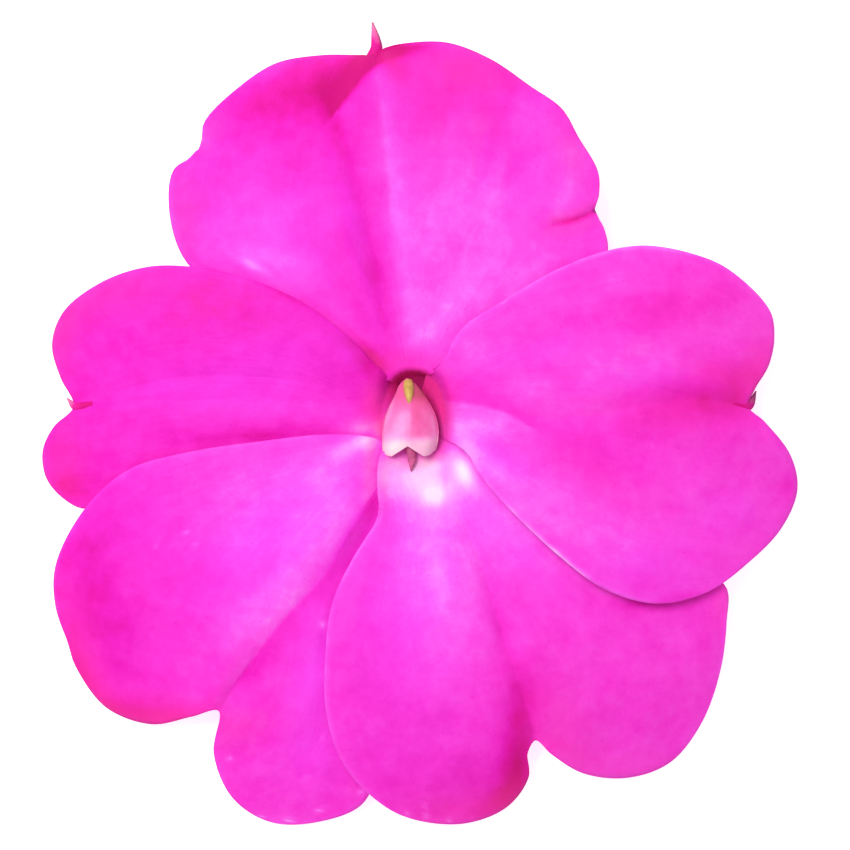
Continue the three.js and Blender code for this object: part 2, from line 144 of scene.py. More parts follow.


# %% [markdown]
# The five petals, in millimetres. Each has a seat (the height of its claw over or under the crown), the
# angles between which its claw stands on the throat, and the corners and the notch of its tip as numbers
# of margin points. The margin is x, y and lift over the crown. The fold is the groove along the midrib:
# its depth, its widths at claw and tip on the left and on the right of it, and how sharp it is on each
# side. Creases are smaller grooves. Steps are lines where the colour jumps; the darker side of a step is
# partly painted shade, on the side of a fold that turns from the light. The funnel gives the throat's
# depth across the claw, and the wall says how far it reaches out. The base tone lightens or darkens the
# whole petal, partly as painted light and shade that evens out how the key light falls on each petal,
# and the rim lightens its side edges, partly as a painted highlight where an edge catches the light.

# %% The petals' measures
PETALS = {
    "dorsal": {
        "seat": -0.7, "claw": (132, 66), "corners": (11, 15, 23), "depth": 1.6,
        "widths": ((2, 5), (1.1, 1.1)), "sharp": (2.6, 1.15), "funnel": [2.3, 2.3], "wall": 0.18,
        "base_tone": 0, "rim": 0.14,
        "fold": [(-1.4, 6.7), (-1.8, 11.3), (-2.3, 16.4), (-2.75, 21.5), (-3.2, 26.6), (-3.95, 31.2)],
        "steps": [([(-3.3, 30.9), (-4.8, 29.8), (-5.6, 28.5), (-6.8, 27)], 0.14, -0.4, 1.5)],
        "creases": [
            ([(11.4, 17), (13, 17.25), (14.6, 18)], 0.7, 0.3),
            ([(6.6, 28.4), (5.4, 24.5), (4.8, 20.5)], 0.16, 0.7),
            ([(2.6, 28), (1.9, 23.5), (1.6, 20)], 0.12, 0.6),
            ([(-18.6, 22.9), (-17.2, 22.5), (-15.8, 22.6)], 0.16, 0.35),
        ],
        "margin": [
            (-3.5, 3.9, -0.8), (-4.8, 4.8, -0.85), (-7.1, 6.7, -0.9), (-12, 9.6, -0.9), (-17.5, 11.6, -1),
            (-20.2, 14.2, -0.9), (-21.4, 18.4, -0.7), (-21, 21.65, -1), (-19.2, 22.8, -1.3),
            (-18.65, 23.7, -1.1), (-18.5, 25.6, -1.2), (-15.3, 28.9, -1.8), (-12.3, 30.8, -2.2),
            (-8.4, 31.5, -2.3), (-5.2, 31.5, -1.5), (-4, 31.5, -0.7), (-3.1, 32.05, -0.9),
            (-1.05, 32.5, -1.8), (2.3, 32.55, -2.6), (5.9, 31.15, -2.6), (9.3, 28.8, -2.2),
            (12, 26.8, -1.2), (13.35, 24.4, -1), (15, 21.45, -0.8), (15.1, 19.4, -0.8), (14.7, 17.9, -1.1),
            (15.5, 16.6, -0.8), (15.7, 14.2, -0.9), (12, 11.6, -0.9), (8.4, 9, -0.85), (5.5, 7, -0.9),
            (3.3, 5.4, -0.9), (1.9, 4.4, -0.85),
        ],
    },
    "upper_left": {
        "seat": -0.15, "claw": (208, 127), "corners": (7, 11, 14), "depth": 0.8,
        "widths": ((1, 1.3), (3, 5)), "sharp": (1.2, 2), "funnel": [0.3, 0.5, 1.2, 2.2], "wall": 0.8,
        "base_tone": -0.04, "rim": 0.05,
        "fold": [(-3.4, 2.1), (-6, 2), (-12, 1.9), (-18.7, 2), (-24, 2), (-29.35, 1.5)],
        "margin": [
            (-4, -2, -0.5), (-6.4, -2.4, -0.7), (-9, -2.9, -0.85), (-14, -4, -0.9), (-20, -5.3, -0.9),
            (-25.5, -6.5, -1.2), (-28.7, -7.2, -1.4), (-30.6, -6.2, -1.4), (-31.9, -4.6, -1.3),
            (-32.2, -2.3, -1), (-31.2, -0.2, -0.5), (-29.5, 1.5, 0), (-30.65, 3.95, -0.4),
            (-31.4, 6.8, -1.1), (-30.4, 9.6, -1.4), (-27, 12.1, -0.9), (-23.2, 13.3, -0.1),
            (-19.5, 13.3, 0.4), (-15.3, 12.5, 0.6), (-10.1, 10.3, 0.6), (-5.5, 6.7, 0.5), (-3.7, 4.7, 0.4),
        ],
    },
    "lower_left": {
        "seat": -0.2, "claw": (246, 203), "corners": (9, 12, 16), "depth": 0.7,
        "widths": ((2.2, 2.4), (0.8, 1)), "sharp": (1.15, 1.15), "funnel": [0.2, 0.3], "wall": 0.8,
        "base_tone": 0.03, "rim": 0.1,
        "fold": [(-4.3, -6.9), (-6.3, -9.9), (-8.3, -12.9), (-11.2, -16.1), (-14, -19.6), (-17.1, -24.2)],
        "steps": [([(-4.5, -6.5), (-6.4, -9.6), (-8.1, -12.7), (-11.2, -16), (-15.3, -21.2)], -0.3, 0.1,
            1.2)],
        "margin": [
            (-1.9, -4.9, -0.9), (-1.9, -6.6, -1.05), (-2.5, -8.8, -1.05), (-3.8, -13, -1.15),
            (-4.4, -18, -1.3), (-4.4, -24, -1.4), (-3.8, -29.3, -1.4), (-5, -32.4, -1.4), (-8.9, -34, -1.1),
            (-12.9, -34, -1.1), (-16.1, -31.9, -0.9), (-17.65, -28, -0.2), (-17.2, -24.4, 0.2),
            (-19.5, -24.9, -0.3), (-23, -25.6, -0.9), (-26.9, -24.2, -1.1), (-29.5, -20.7, -1.1),
            (-30.15, -18.75, -1), (-31.2, -15.4, -1.2), (-31.1, -12, -0.7), (-28.6, -7.3, 0.1),
            (-24.8, -3.9, 0.5), (-19.5, -2.35, 0.7), (-13, -1.4, 0.7), (-8.5, -0.9, 0.5), (-6.2, -0.9, 0.3),
            (-4.3, -1.1, 0),
        ],
    },
    "lower_right": {
        "seat": 0.1, "claw": (346, 215), "corners": (9, 14, 19), "depth": 1.5,
        "widths": ((1.2, 1.2), (1.6, 2.1)), "sharp": (1.15, 1.15), "funnel": [1.3, 0.6, 0.3, 0.2, 0.2],
        "wall": 0.8, "base_tone": 0.1, "rim": 0.16,
        "fold": [(2.9, -6.9), (4.6, -10.8), (6.1, -15), (7.4, -19.3), (8.8, -23.5), (9.7, -26.8)],
        "margin": [
            (2.9, -1.5, -0.1), (4.3, -2, -0.3), (6.8, -3.4, -0.7), (12, -7, -0.9), (17.5, -10, -0.9),
            (22.5, -12, -0.9), (25.9, -13.8, -0.7), (26, -16.8, -0.4), (25.5, -21, -0.6), (24, -25.4, -0.9),
            (21.3, -28.9, -1.1), (17.7, -30.2, -1.2), (13.9, -29.8, -1.1), (11.1, -28.1, -0.4),
            (9.75, -26.9, 0.1), (9.1, -27.9, -0.2), (9.15, -30.1, -0.9), (7.3, -32.7, -1.4),
            (3.5, -34.1, -1), (-1.2, -33.5, -0.2), (-3.9, -31.9, 0.3), (-6.6, -28.8, 0.65),
            (-8, -24.5, 0.85), (-8.1, -20.2, 0.9), (-7.5, -15.2, 0.9), (-5.9, -11.6, 0.8),
            (-4.6, -9.5, 0.7), (-3.4, -7.5, 0.58), (-3.6, -6.4, 0.45), (-3.7, -5, 0.34),
            (-3.65, -3.6, 0.26), (-3.3, -2.4, 0.2),
        ],
    },
    "upper_right": {
        "seat": 0.25, "claw": (70, -20), "corners": (8, 12, 18), "depth": 0.95,
        "widths": ((1.8, 2.2), (1.5, 1.5)), "sharp": (1.15, 1.15), "funnel": [2, 1.7, 1.2], "wall": 0.7,
        "base_tone": 0.11, "rim": 0.16,
        "fold": [(3.2, 1.8), (6.8, 1.1), (9.2, 0.5), (15.3, 0.9), (19.5, 1.8), (23.8, 2), (27.8, 1.5)],
        "steps": [([(2.9, 1.9), (4.9, 1.65), (6.8, 1.1), (8.6, 0.1)], -0.18, 0.16, 1.1)],
        "margin": [
            (1.6, 5, 0.45), (3.4, 8, 0.5), (7, 10.4, 0.6), (11, 12.8, 0.6), (15.6, 14.6, 0.4),
            (19.1, 15.1, -0.1), (23.2, 14.4, -0.7), (26.15, 13.15, -1.2), (29.7, 9.7, -1.8),
            (30.1, 7.4, -1.8), (29.6, 5, -1.4), (28.4, 3, -0.7), (27.8, 1.5, -0.3), (29.2, 0.2, -0.6),
            (31.5, -2.7, -1.5), (32.1, -5.6, -1.8), (30.7, -8.9, -1.4), (27.7, -11.9, -0.5),
            (24.4, -14.2, 0.3), (20, -15.2, 0.7), (15.6, -14, 0.8), (11.6, -11.1, 0.8), (7, -6.7, 0.7),
            (4.9, -4.2, 0.5), (3.7, -2.2, 0.35),
        ],
    },
}
print(len(PETALS), "petals")

# %% [markdown]
# The face of the flower is a low dome, the crown, with a funnel that leads down into the throat. The
# throat is a rounded rectangle. Both are plain formulas, so a petal's height is its lift on the crown.

# %% The crown and the throat
CROWN = {"height": 8.6, "radius": 8, "droop": 0.0088}
THROAT = {"x": -0.6, "y": 0.4, "half_width": 2.5, "half_height": 4, "power": 2.5}
FUNNEL = 3.1


def from_throat(x, y):
    """The way from the throat's middle to a point, and its length over that to the throat's outline."""
    dx, dy = x - THROAT["x"], y - THROAT["y"]
    power = THROAT["power"]
    return dx, dy, (np.abs(dx / THROAT["half_width"]) ** power
                    + np.abs(dy / THROAT["half_height"]) ** power) ** (1 / power)


def crown_height(x, y, funnel=FUNNEL, wall=0.85):
    dx, dy, reach = from_throat(x, y)
    distance = np.hypot(dx, dy)
    outside = np.where(reach > 1, distance * (1 - 1 / np.maximum(reach, 1)), 0)
    beyond = np.maximum(0, distance - CROWN["radius"])
    return (CROWN["height"] - CROWN["droop"] * beyond**2
            - funnel * np.exp(-((outside / wall) ** 2)))


def throat_point(degrees, lift):
    angle = np.radians(degrees)
    c, s = np.cos(angle), np.sin(angle)
    x = THROAT["x"] + THROAT["half_width"] * np.sign(c) * np.abs(c) ** (2 / THROAT["power"])
    y = THROAT["y"] + THROAT["half_height"] * np.sign(s) * np.abs(s) ** (2 / THROAT["power"])
    return np.stack([x, y, np.full_like(x, lift)], -1)


print("crown over the throat's rim:", round(float(crown_height(6.0, 0.4)), 2), "mm")

# %% [markdown]
# A Coons patch blends the four sides into one sheet. Across the sheet u runs from one side edge to the
# other, and along it v runs from the claw to the tip, so lines of equal u fan out as the veins do. The
# midrib is at u = 0.5, and it ends in the notch.

# %% The sheet between a petal's four sides
def petal_patch(petal, u, v):
    """x, y and lift for shares u across and v along a petal."""
    start, stop = petal["claw"]
    ends = throat_point(np.array([start, stop], float), petal["seat"])
    line, run = smooth_line([ends[0], *petal["margin"], ends[1]])
    first, notch, last = (run[STEPS * (k + 1)] / run[-1] for k in petal["corners"])
    u, v = np.asarray(u, float), np.asarray(v, float)
    tip_share = np.where(u < 0.5, first + (notch - first) * 2 * u, notch + (last - notch) * (2 * u - 1))
    corners = [along(line, run, np.array([share]))[0] for share in (first, last)]
    a, b = u[..., None], v[..., None]
    return ((1 - b) * throat_point(start + (stop - start) * u, petal["seat"])
            + b * along(line, run, tip_share)
            + (1 - a) * along(line, run, first * v)
            + a * along(line, run, 1 - (1 - last) * v)
            - (1 - a) * (1 - b) * ends[0] - a * (1 - b) * ends[1]
            - (1 - a) * b * corners[0] - a * b * corners[1])


for name, petal in PETALS.items():
    print(name, "notch at", petal_patch(petal, [0.5], [1.0])[0].round(1))

# %% [markdown]
# The blade starts as a flat grid with its own UV map, and each corner of the grid is moved to its place
# on the sheet. Where the margin bends sharply, a Coons patch bunches up, so the inner corners are then
# relaxed with smooth_vert, which spreads them evenly and leaves the margin where it is.

# %% From a grid to a sheet
def link(name, mesh, body="root", node=(), slot=None):
    """Puts a finished mesh in the scene on its body, in place of its solid."""
    piece = bpy.data.objects.new(name, mesh)
    scene.collection.objects.link(piece)
    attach(piece, body)
    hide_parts(node)
    return piece


def grid_mesh(name, across, rows, place, marks=None, relax=0, inner=None, finish=None):
    """A grid moved to place(u, v), in millimetres, with a value for each mark at its corners."""
    bm = bmesh.new()
    bm.loops.layers.uv.new("UVMap")
    bmesh.ops.create_grid(bm, x_segments=across, y_segments=rows, size=1, calc_uvs=True)
    flat = np.array([v.co for v in bm.verts])
    u, v = (flat[:, 0] + 1) / 2, (flat[:, 1] + 1) / 2
    for vert, point in zip(bm.verts, place(u, v) * MM):
        vert.co = point
    if relax:
        loose = [vert for vert, free in zip(bm.verts, inner(u, v)) if free]
        for _ in range(relax):
            bmesh.ops.smooth_vert(bm, verts=loose, factor=0.5, use_axis_x=True, use_axis_y=True,
                                  use_axis_z=True)
    points = np.array([vert.co for vert in bm.verts]) / MM
    if finish:
        points = finish(u, v, points)
        for vert, point in zip(bm.verts, points * MM):
            vert.co = point
    for mark, values in (marks(u, v, points) if marks else {}).items():
        layer = bm.verts.layers.float.new(mark)
        for vert, value in zip(bm.verts, values):
            vert[layer] = value
    for face in bm.faces:
        face.smooth = True
    mesh = bpy.data.meshes.new(name)
    bm.to_mesh(mesh)
    bm.free()
    return mesh


# %% [markdown]
# A petal isn't as smooth as its sheet. The midrib lies in a groove, which deepens towards the notch and
# is often steeper on one side. Each half swells a little, shallow waves run out to the margin, small
# creases pull it in, and the whole blade is a bit uneven. The swell and the waves fade out at the side
# edges, so that a petal doesn't cut through the one under it. The grid's first rows go on down into the
# throat as the claw, and close the throat's wall there.

# %% The petal's relief
RELIEF = {"puff": 0.45, "waves": 0.06, "wave_count": 7, "uneven": 0.1}
UNEVEN = ((0.71, 0.53, 1), (-0.37, 0.93, 2.1), (1.31, -0.89, 3.3))  # waves for each mm of x and y, and shift
CLAW = {"rows": 0.08, "drop": 3.0, "inward": 0.42, "crowd": 1.2}


def outward(row):
    """Where a row of the grid lies along the petal: close rows near the throat, after those of the claw."""
    return (np.maximum(row - CLAW["rows"], 0) / (1 - CLAW["rows"])) ** CLAW["crowd"]


def uneven(x, y, shift):
    """A soft uneven height between -1 and 1."""
    return sum(np.sin(a * x + b * y + c * shift) for a, b, c in UNEVEN) / len(UNEVEN)


def fold_distance(fold, x, y):
    """How far a point is from a line: positive on the line's left as it runs out, negative on its right."""
    line, _ = smooth_line(fold)
    dx, dy = x[:, None] - line[:, 0], y[:, None] - line[:, 1]
    nearest = np.argmin(dx**2 + dy**2, axis=1)
    ahead = np.gradient(line, axis=0)[nearest]
    rows = np.arange(len(x))
    dx, dy = dx[rows, nearest], dy[rows, nearest]
    return -np.sign(ahead[:, 1] * dx - ahead[:, 0] * dy) * np.hypot(dx, dy)


def petal_relief(petal, shift):
    """finish(u, row, points) for a petal: the sheet's x, y and lift become the middle of the blade."""
    def finish(u, row, points):
        v = outward(row)
        x, y, lift = points.T
        aside = fold_distance(petal["fold"], x, y)
        width = np.where(aside > 0, *(near + (far - near) * v for near, far in petal["widths"]))
        sharp = np.where(aside > 0, *petal["sharp"])
        groove = petal["depth"] * v * np.exp(-((np.abs(aside) / width) ** sharp))
        half = np.where(u < 0.5, 2 * u, 2 * u - 1)
        swell = RELIEF["puff"] * np.sin(np.pi * half) * np.sin(np.pi * v**1.3)
        inside = np.sin(np.pi * u)
        waves = RELIEF["waves"] * np.sin(2 * np.pi * RELIEF["wave_count"] * u + shift) * v**2 * inside
        bumps = RELIEF["uneven"] * uneven(x, y, shift) * inside**0.5 * np.minimum(1, 3 * v)
        for crease, depth, reach in petal.get("creases", ()):
            bumps -= depth * np.exp(-((fold_distance(crease, x, y) / reach) ** 2))
        depths = petal["funnel"]
        funnel = np.interp(u, np.linspace(0, 1, len(depths)), depths)
        z = crown_height(x, y, funnel, petal["wall"]) + lift - groove + swell + waves + bumps
        claw = np.clip(1 - row / CLAW["rows"], 0, 1)
        z -= CLAW["drop"] * (funnel / FUNNEL) ** 1.5 * claw
        x = x + (THROAT["x"] - x) * CLAW["inward"] * claw
        y = y + (THROAT["y"] - y) * CLAW["inward"] * claw
        return np.stack([x, y, z], -1)
    return finish


# %% [markdown]
# The pink isn't even. Some zones are paler and lilac, others deeper, and the base round the throat is
# white below and crimson above. Many zones are painted light and shade as well: painted shade on a groove
# or crease wall that turns from the light and under a petal's margin that lies over another, a painted
# highlight on a wall that faces the light and along lit edges, and paler patches that paint out the
# shadow of the stamen cap. Each zone is a soft oval: its centre, its half length and half width,
# the turn of its length in degrees, and how much it lightens or deepens the colour. The ovals of warmth
# turn the pink towards crimson where they are positive, and towards violet where they are negative; some
# of them deepen folds and margins that turn from the light, as painted shade.
# Specks are the tiny pale scuffs on the lower petals: a centre and a radius.

# %% Zones, warmth and specks of each petal
ZONES = {
    # Dorsal: (-6.3, 20.5) is painted shade on the groove wall left of the fold, (-2.6, 22.5) a painted
    # highlight on the wall right of it, and (-4.1, 5.7) and (12.9, 17.25) painted shade under the left wing's
    # edge and in the crease.
    "dorsal": [
        (-12.3, 17.2, 4.2, 3, 0, 0.16), (-13, 25, 6, 5, 0, -0.16), (-12.6, 14, 4.4, 1.1, -12, 0.2),
        (3.5, 17.5, 8.5, 5.5, 80, 0.28), (0.3, 8, 2.8, 2, 90, 0.24), (-2.6, 22.5, 9.5, 0.9, 98, 0.26),
        (-6.3, 20.5, 10, 1.2, 103, -0.28), (-5.6, 30.2, 3.6, 1.4, 32, -0.3), (-9, 28.8, 6.5, 3, 10, -0.34),
        (-3.4, 9.5, 4.5, 0.9, 105, -0.16), (-5.2, 14, 3, 1, 110, -0.12), (-3.2, 28.4, 2.4, 1, 95, 0.14),
        (5, 28.6, 4.5, 3, 0, -0.1), (6.2, 24.5, 4.5, 0.9, 72, -0.18), (12.6, 20.5, 4.2, 1.8, 70, 0.26),
        (12.9, 17.25, 1.7, 0.3, 17, -0.6), (11.5, 13.5, 5, 2.4, 25, 0.16), (8, 21.6, 2.4, 0.7, 50, -0.16),
        (-7.6, 12.6, 4, 1.6, 100, -0.08), (4.8, 12.2, 4, 1.6, 50, 0.14), (3.6, 27, 3, 1.6, 80, -0.06),
        (-14.3, 13.4, 1.8, 0.4, -28, 0.26), (-11, 12.4, 5, 1.6, -25, 0.1), (6.5, 10, 5, 1.3, 38, 0.14),
        (-4.1, 5.7, 1.9, 0.5, -49, -0.45), (9.5, 26, 3.5, 1.2, -30, 0.12),
        (-3.6, 13.2, 2.5, 1.2, 100, -0.12), (-4, 31.1, 1.5, 0.8, 20, -0.4),
        (-1.9, 31.8, 2.2, 0.6, 8, -0.62), (-2.2, 30.5, 1.4, 1, -55, -0.24), (-12.8, 30.2, 3, 0.7, 25, 0.18),
        (-18.4, 24, 0.9, 0.9, 0, 0.18), (-20.9, 16.5, 3.5, 0.5, 105, 0.12), (-1.6, 5.4, 2.4, 1, 0, -0.14),
        (-5.4, 10, 4.5, 0.8, 115, -0.1), (-17, 26, 2.6, 1.6, 30, 0.07), (6.3, 19.2, 1.6, 1, 0, 0.08),
        (-15.3, 23.2, 2.6, 2, 0, 0.07), (8.5, 26.6, 2.2, 1.8, 0, 0.07), (2.2, 9.3, 2.4, 0.9, 60, 0.08),
    ],
    # Upper left: (-12.5, 1.1) is a painted highlight on the groove wall that faces the light, and (-14, -0.9)
    # painted shade where the lower half turns down under the lower petal.
    "upper_left": [
        (-20, 5.5, 12, 7, 0, -0.12), (-16, 9.8, 6, 2.6, -12, -0.12), (-12.5, 1.1, 6.5, 0.8, 2, 0.12),
        (-14, -0.9, 6.5, 0.6, 5, -0.22), (-5.2, 6.1, 4.2, 0.8, -50, -0.27), (-5.6, 4.2, 2, 2, 0, -0.16),
        (-11, 10.8, 4, 0.45, -28, -0.2), (-28.5, -4, 4, 2.8, 0, -0.14), (-4.8, -0.2, 2.6, 0.9, 5, 0.4),
        (-8, 5, 3, 2, 0, 0.02), (-26, 0.4, 4, 1.2, 0, -0.12), (-7.4, 7.6, 4, 0.8, -40, -0.1),
        (-27.5, 9, 5, 2.2, 40, -0.08), (-15.5, 2.3, 5, 1, 0, 0.1), (-3.4, -0.4, 1.5, 0.5, 85, 0.34),
        (-5.2, -0.6, 1.3, 0.7, 30, 0.18), (-4.4, 1, 1, 0.8, 0, -0.14), (-9, 5.6, 2.6, 2.2, 0, -0.08),
        (-24.5, 12.9, 4, 0.5, 12, 0.12), (-29.5, -2.2, 3, 1.8, 0, -0.07),
        (-30.2, -5.4, 1.8, 1.2, -35, -0.25),
    ],
    "lower_left": [
        (-13, -6, 7.5, 4.4, 15, 0.2), (-5.8, -1.8, 2.6, 1.1, 20, 0.34), (-10.6, -13, 6.6, 1.6, 50, 0.24),
        (-28, -15, 9.5, 4.4, 110, -0.28), (-5.5, -9.3, 3.2, 0.9, 57, -0.42),
        (-10.5, -10, 6.5, 3.2, 48, 0.12), (-10, -25, 6, 4.5, 80, 0.04), (-4.35, -2.8, 3.2, 0.6, 88, 0.22),
        (-22, -24.6, 6, 1.6, 0, -0.1), (-7.5, -5, 2.2, 3, 0, 0.16), (-23.5, -8, 5, 3.6, 20, -0.12),
        (-15.6, -10, 3, 1.6, 30, 0.08), (-18.7, -13, 4, 2.4, 40, -0.14), (-15.4, -16.7, 3.6, 1.6, 45, 0.12),
        (-9.2, -18.6, 3, 0.8, 82, 0.14), (-20.2, -12.2, 3.5, 2, 0, -0.06), (-13, -16, 1, 0.6, 0, -0.12),
        (-17.2, -20.9, 1.4, 1.4, 0, -0.12), (-5, -1.4, 1.2, 0.7, 30, 0.2), (-17.2, -29.5, 3, 0.6, 100, 0.1),
        (-11, -33.8, 2.2, 0.5, 0, 0.15), (-27.3, -9.5, 2.6, 2, 40, -0.07), (-18, -9, 3, 2.2, 50, 0.08),
        (-10.2, -4.8, 2.6, 1.6, 0, 0.1), (-9.5, -28, 3.5, 3, 0, -0.05), (-24.5, -24.6, 5, 0.9, -8, -0.34),
        (-28.8, -21.4, 3.2, 0.8, -58, -0.24),
    ],
    # Lower right: (22.5, -14.2) and (19.5, -15.3) are the painted shadow of the upper right petal's margin,
    # and (0.9, -3.2) and (1.6, -0.6) are painted light that takes out the stamen cap's shadow.
    "lower_right": [
        (-0.2, -4.2, 3.4, 2.2, 0, 0.5), (1.2, -6.1, 1.1, 0.9, 0, 0.34), (3.6, -3.9, 1.6, 0.85, 108, 0.44),
        (2.05, -4.8, 2.4, 0.3, 90, -0.06), (0.9, -3.2, 1.4, 0.6, 0, 0.22), (-2.2, -3.3, 0.8, 0.5, 0, 0.16),
        (0.6, -9.5, 4.2, 3.2, 92, 0.22), (4.7, -5.2, 1.6, 0.7, -50, 0.08), (2, -16.5, 7, 2.6, 96, 0.22),
        (-5, -24.5, 8, 3, 95, -0.06), (-8.2, -16.5, 4, 0.4, 88, 0.14), (8.2, -27.2, 6, 1.5, 85, -0.56),
        (7, -18.5, 5, 0.8, 105, -0.12), (7.4, -8.4, 6.6, 3, -48, 0.2), (19, -21, 6, 5.5, 0, -0.03),
        (22.5, -14.2, 4.5, 0.8, 14, -0.34), (3.4, -30.6, 7, 3.2, 10, -0.22),
        (-1.6, -13.5, 3, 1.2, 85, 0.12), (4.6, -14, 4.6, 0.8, 104, 0.1), (1.5, -6.6, 5.5, 2.4, -5, 0.1),
        (2.6, -5.2, 0.9, 0.8, 0, 0.08), (-3.2, -4.2, 1.1, 0.6, 90, 0.14), (-4.8, -20, 4, 1.6, 80, -0.08),
        (1.2, -13, 1.4, 0.8, 90, 0.12), (3.8, -16.5, 1.6, 0.8, 90, 0.12), (4.4, -25.5, 3, 1.5, 20, -0.08),
        (6, -32.6, 3, 1.2, 35, -0.34), (8.4, -30, 2, 1, 80, -0.16), (1.4, -33.8, 2.2, 0.5, 3, 0.12),
        (19.5, -15.3, 4, 0.5, -4, -0.16), (1.6, -0.6, 1.3, 0.6, 85, 0.14), (1.3, -2.8, 0.8, 0.7, 0, -0.08),
        (1.6, -23.5, 2.6, 2.2, 0, -0.11), (-3.4, -23, 2.2, 3, 0, -0.07),
    ],
    # Upper right: (24.6, 2.4) is painted shade on the groove's upper wall by the notch, and (1.6, -0.4) is
    # painted light that takes out the stamen cap's shadow.
    "upper_right": [
        (20, 7.4, 9.5, 1.2, 8, 0.12), (5.6, -0.3, 3.4, 1, -12, 0.3), (5.4, -3.6, 4, 1.5, -48, 0.26),
        (24.6, 2.4, 5.6, 1.7, 2, -0.44), (14, -1.2, 7.5, 1.6, 0, -0.12), (13.4, -8.6, 8.5, 3.2, -25, 0.16),
        (12, -11.6, 4.2, 0.35, -42, 0.34), (11.5, 3.4, 6, 1.8, 6, 0.12), (4, 3.6, 2.4, 1.4, 0, -0.16),
        (15.5, -4, 3.5, 2.2, 0, -0.12), (27, -6, 4, 3.6, 0, 0.04), (17.5, -12.6, 6, 1.6, -8, -0.06),
        (2.3, 0.7, 1.8, 0.7, 80, -0.05), (1.6, -0.4, 1.3, 0.5, 85, 0.16), (20, 0.3, 7.5, 1.2, 0, -0.12),
        (19.5, 9.6, 6, 1.8, 8, -0.14), (3.9, -1.9, 1.8, 0.9, -55, 0.24), (10.5, 4.6, 2.5, 1, -20, -0.12),
        (19.5, 8.2, 5, 1, 15, -0.08), (24, 1.4, 5, 0.8, 0, -0.1), (8.2, -0.7, 1.5, 0.8, 0, -0.12),
        (5.6, -4.6, 1.8, 0.9, -50, -0.12), (4.6, 7.6, 3, 1.6, 40, 0.1), (12, 1.2, 4, 0.7, 0, 0.14),
        (26, 4.6, 3, 1.3, -15, -0.12), (28, 2, 0.6, 1, 0, 0.25), (31.4, -4.6, 3.5, 1, 75, -0.14),
        (22, -14.9, 3.2, 0.5, 8, -0.22), (28.6, 4.4, 2, 1, 70, -0.1), (20, 15, 3, 0.5, 0, 0.12),
        (4.6, 5.4, 2.4, 1.2, 30, 0.08), (18.6, 5.4, 3.5, 1.4, 10, 0.1), (15.3, 11.3, 3.2, 1.6, 20, 0.08),
        (11.9, -4.8, 2.6, 1.8, 0, 0.12),
    ],
}
WARMTH = {
    "dorsal": [
        (4, 30.2, 4.5, 2, -8, 0.45), (-2.2, 30.2, 1.6, 1.2, -55, 0.3), (2, 25, 4.5, 4, 0, 0.16),
        (-12, 29, 5, 2, 30, 0.12), (-20.3, 17.5, 5.5, 1.5, 95, 0.32), (-18, 25.2, 2, 1, 70, 0.25),
        (12.6, 17, 2.6, 1, 17, 0.42), (12.8, 23.6, 4, 1.8, 110, 0.26), (6, 25.5, 2, 1.5, 0, 0.15),
        (-4.1, 5.7, 1.9, 0.6, -49, 0.25), (-12, 16, 7, 4, 0, -0.12), (-1.6, 5.2, 3, 1.1, 0, 0.3),
        (-5.8, 17, 8, 0.8, 103, -0.25), (-10.5, 30.8, 5, 0.9, 8, 0.16), (-1, 27, 8, 4, 0, 0.1),
    ],
    "upper_left": [
        (-27, 11, 6, 2.2, 30, 0.34), (-31, 6, 4, 2, 90, 0.3), (-30.5, -4, 4.5, 2.2, 90, 0.4),
        (-20, 11, 6, 2.4, 0, 0.15), (-4.1, 1.9, 2, 0.9, 85, 0.55), (-3.4, -0.6, 1.6, 0.6, 90, 0.45),
        (-4.8, -0.2, 1.6, 1.2, 0, 0.25), (-30.5, 8.5, 3, 1.2, 70, 0.15), (-17, 3.5, 7, 2.6, 0, -0.22),
        (-6.2, 6.2, 2, 0.9, -50, -0.15), (-11, 6.5, 5, 3, 0, -0.16),
    ],
    "lower_left": [
        (-22.5, -25.2, 8, 2, -3, 0.48), (-28.8, -20.8, 5, 1.5, -63, 0.42), (-19.5, -25.2, 4, 1.2, 0, 0.2),
        (-29.5, -16, 6, 1.5, 110, 0.16), (-4.3, -3.2, 3.4, 0.6, 88, 0.5), (-12, -9, 9, 4, 40, -0.4),
        (-8.5, -20.5, 6, 2.4, 80, -0.4), (-5.5, -9.5, 3.2, 1, 57, -0.25), (-9, -28, 4, 3, 0, -0.2),
        (-25, -9, 4, 3, 0, -0.12),
    ],
    "lower_right": [
        (11.5, -25, 5, 2.5, -50, 0.26), (3.5, -33, 6, 1.8, 5, 0.34), (7.2, -32, 3, 1.5, 40, 0.25),
        (18, -29.5, 6, 1.5, 0, 0.15), (-1, -16, 9, 5, 90, -0.3), (1.5, -8.5, 4, 3, 0, -0.2),
        (-3.4, -4.8, 2.6, 0.8, 90, 0.4), (0.6, -3, 3.2, 0.6, 0, 0.24), (25.8, -15, 2, 1, 60, 0.3),
        (8, -10, 6, 2, -50, -0.2), (1.8, -2, 1.4, 0.8, 90, 0.24), (11.6, -27.6, 3, 1.2, -30, 0.2),
    ],
    "upper_right": [
        (22.5, 1.2, 6.5, 2, 3, 0.34), (28.8, 4.8, 3.5, 1.8, 70, 0.4), (25.4, 4.4, 3, 1.3, -10, 0.34),
        (18, 3.9, 5, 1.4, 5, -0.16), (21, 9.5, 7, 2, 10, 0.15), (2.3, 0.3, 2.8, 0.8, 86, 0.5),
        (1.9, 3.4, 2.2, 0.9, -80, 0.2), (13.5, -3.6, 6, 2, -30, 0.14), (6.5, -2.8, 4, 1.6, -30, -0.2),
        (18.5, -11.5, 5, 3, 0, -0.2), (26, -7.5, 3, 2, 0, -0.14), (12, 6.5, 8, 1.2, 12, -0.1),
    ],
}
